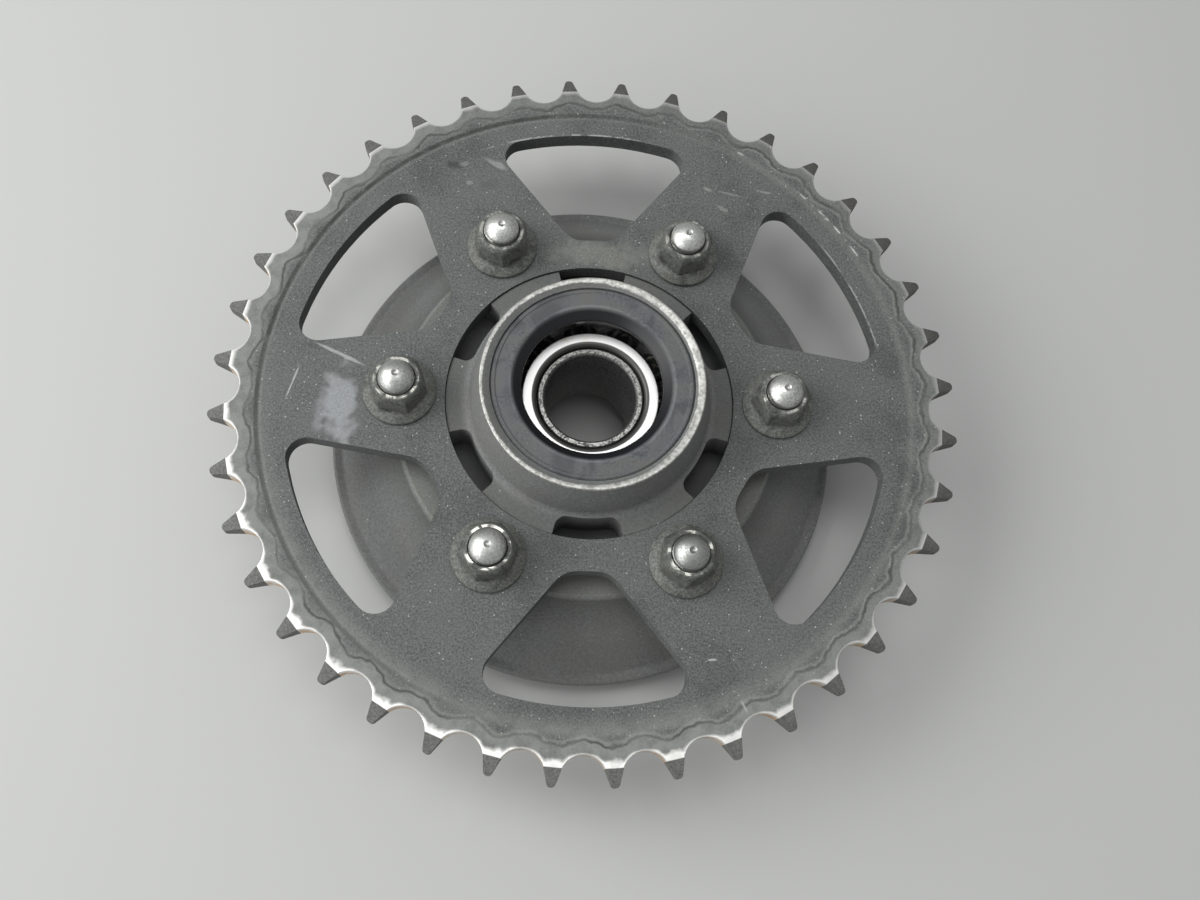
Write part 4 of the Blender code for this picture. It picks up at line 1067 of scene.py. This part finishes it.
# Flange nuts
# Six steel lock nuts that hold the sprocket down: a hexagon on a wide flange, coned above to a rim that is
# crimped on the stud. They were painted over with the sprocket and have greyed with it.
NUT_SEAT = 38.2
NUT_FLANGE = 10.0
NUT_FLANGE_TOP = 2.5
NUT_FLAT = 7.0
NUT_EASING = 0.25
NUT_CHAMFER_LOW = 6.4
NUT_TOP = 10.0
NUT_COLLAR = 6.4
NUT_CRIMP = 5.1
NUT_TURN = radians(17)
NUT_STEPS = 64
NUT_BORE_STEPS = 48
hex_corner = NUT_FLAT / cos(pi / 6)
nut_rim = NUT_SEAT + NUT_TOP

# Old paint and dust on plated steel: olive grey with brown and black stains, rubbed to metal in spots along
# the crimped rim.
nut_paint, tree = blank_finish("dusty_paint_on_plated_steel")
here = add(tree, "TexCoord").node.outputs["Object"]
height = add(tree, "SeparateXYZ", {0: here}).node.outputs["Z"]
grain = add(tree, "TexNoise", {"Vector": here, "Scale": 1 / (0.6 * MM), "Detail": 4.0, "Roughness": 0.65})
stains = add(tree, "TexNoise", {"Vector": here, "Scale": 1 / (4 * MM), "Detail": 3.0, "Distortion": 0.8})
colour = tinted(tree, linear("#484a47"), "#7e807a", 1.0, (grain, 0.35, 0.66))
colour = tinted(tree, colour, "#56544b", 0.45, (stains, 0.5, 0.66))
colour = tinted(tree, colour, "#2f302d", 0.55, (stains, 0.47, 0.36))
rubbed = add(tree, "MapRange", {"Value": stains, "From Min": 0.5, "From Max": 0.57})
at_rim = {"From Min": (nut_rim - 0.3) * MM, "From Max": (nut_rim - 0.05) * MM, "To Max": rubbed}
rubbed = add(tree, "MapRange", {"Value": height, **at_rim})
colour = tinted(tree, colour, "#b4b4ad", 1.0, (rubbed, 0, 1))
roughness = add(tree, "MapRange", {"Value": rubbed, "To Min": 0.58, "To Max": 0.35})
bumps = add(tree, "Bump", {"Height": grain, "Strength": 0.35, "Distance": 0.06 * MM})
nut_shader = add(
    tree,
    "BsdfPrincipled",
    {"Base Color": colour, "Metallic": rubbed, "Roughness": roughness, "IOR": 1.5, "Normal": bumps},
)
add(tree, "OutputMaterial", {"Surface": nut_shader})

for index in range(SPOKES):
    hexagon = prism(arc((0, 0), hex_corner, 0, 2 * pi, 6)[:-1], 0.5, NUT_TOP + 1)
    eased(hexagon, sharp_edges(hexagon), NUT_EASING, 2)
    turned_top = spun(
        [
            (0, NUT_TOP),
            (NUT_COLLAR - 0.35, NUT_TOP),
            (NUT_COLLAR, NUT_TOP - 0.3),
            (hex_corner + 0.1, NUT_CHAMFER_LOW),
            (hex_corner + 0.1, 0),
            (0, 0),
        ],
        NUT_STEPS,
        closed=False,
    )
    flange = spun(
        [
            (0, NUT_FLANGE_TOP),
            (hex_corner - 0.2, NUT_FLANGE_TOP),
            (hex_corner + 0.2, NUT_FLANGE_TOP - 0.2),
            (NUT_FLANGE - 0.3, 1.25),
            (NUT_FLANGE, 0.9),
            (NUT_FLANGE, 0.3),
            (NUT_FLANGE - 0.3, 0),
            (0, 0),
        ],
        NUT_STEPS,
        closed=False,
    )
    bore = spun(
        [
            (0, NUT_TOP + 2),
            (NUT_CRIMP + 0.3, NUT_TOP + 2),
            (NUT_CRIMP + 0.3, NUT_TOP + 0.1),
            (NUT_CRIMP, NUT_TOP - 0.2),
            (NUT_CRIMP, NUT_TOP - 1.2),
            (STUD_HOLE, NUT_TOP - 1.6),
            (STUD_HOLE, 0.8),
            (STUD_HOLE + 2.8, -2),
            (0, -2),
        ],
        NUT_BORE_STEPS,
        closed=False,
    )
    nut = joined(hexagon, ("INTERSECT", turned_top), ("UNION", flange), ("DIFFERENCE", bore))
    tightened = Matrix.Rotation(NUT_TURN * index, 3, "Z")
    bmesh.ops.rotate(nut, verts=nut.verts, cent=(0, 0, 0), matrix=tightened)
    turn = 2 * pi * index / SPOKES
    place = Vector((STUD_CIRCLE * cos(turn), STUD_CIRCLE * sin(turn), NUT_SEAT)) * MM
    bmesh.ops.translate(nut, verts=nut.verts, vec=place)
    fitted(f"lock_nut_{index + 1}", nut, nut_paint, "carrier", "nut_steel", f"flange_nut_{index + 1}")


# Floor and light
# A plain pale bench top. A large lamp stands at the left like a window, a small one hangs overhead, and a
# wide low one fills in from the near left. A soft sky, brightest overhead, lights the rest.
FLOOR_HALF = 3.0
FLOOR_DROP = 0.2
LAMP_AIM = Vector((0, 0, 0.03))
floor_shape = bmesh.new()
bmesh.ops.create_grid(floor_shape, x_segments=2, y_segments=2, size=FLOOR_HALF)
bmesh.ops.translate(floor_shape, verts=floor_shape.verts, vec=(0, 0, -FLOOR_DROP * MM))
floor_mesh = bpy.data.meshes.new("bench_top")
floor_shape.to_mesh(floor_mesh)
floor_shape.free()
floor = bpy.data.objects.new("bench_top", floor_mesh)
bpy.context.collection.objects.link(floor)
bench, tree = blank_finish("plain_pale_bench_top")
bench_shader = add(tree, "BsdfPrincipled", {"Base Color": linear("#bebfbd"), "Roughness": 0.7})
add(tree, "OutputMaterial", {"Surface": bench_shader})
floor_mesh.materials.append(bench)
floor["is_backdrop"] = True

for name, place, size, power in (
    ("window_lamp", (-0.82, 0.15, 0.72), 0.7, 7.2),
    ("ceiling_lamp", (-0.02, 0.14, 0.9), 0.3, 1.5),
    ("left_fill", (-0.9, -0.5, 0.5), 0.8, 4.0),
):
    lamp = bpy.data.lights.new(name, "AREA")
    lamp.shape = "SQUARE"
    lamp.size = size
    lamp.energy = power
    lamp_object = bpy.data.objects.new(name, lamp)
    lamp_object.location = place
    lamp_object.rotation_mode = "QUATERNION"
    lamp_object.rotation_quaternion = (LAMP_AIM - Vector(place)).to_track_quat("-Z", "Y")
    bpy.context.collection.objects.link(lamp_object)

world = bpy.data.worlds.new("sky_fill")
world.use_nodes = True
tree = world.node_tree
tree.nodes.clear()
way = add(tree, "TexCoord").node.outputs["Generated"]
way_up = add(tree, "SeparateXYZ", {0: way}).node.outputs["Z"]
sky_level = add(tree, "MapRange", {"Value": way_up, "To Min": 0.27, "To Max": 0.55})
sky = add(tree, "Background", {"Color": linear("#f7f8f9"), "Strength": sky_level})
add(tree, "OutputWorld", {"Surface": sky})
bpy.context.scene.world = world
bpy.context.scene.view_settings.view_transform = "Standard"


# Camera
# It looks down at the sprocket from its near side, a little to the left, as the photograph does.
CAMERA_PLACE = Vector((-17.19, -113.83, 338.9)) * MM
CAMERA_AIM = Vector((2.99, -14.63, 36.8)) * MM
CAMERA_ROLL = radians(12.92)
CAMERA_LENS = 34.64
CAMERA_SENSOR = 36.0
camera_data = bpy.data.cameras.new("camera")
camera_data.lens = CAMERA_LENS
camera_data.sensor_width = CAMERA_SENSOR
camera = bpy.data.objects.new("camera", camera_data)
camera.location = CAMERA_PLACE
camera.rotation_mode = "QUATERNION"
looking = (CAMERA_AIM - CAMERA_PLACE).to_track_quat("-Z", "Y")
camera.rotation_quaternion = looking @ Quaternion((0, 0, 1), CAMERA_ROLL)
bpy.context.collection.objects.link(camera)
bpy.context.scene.camera = camera

size = {"cad": [list(corner) for corner in cad_box], "visual": [list(corner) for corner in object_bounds()]}
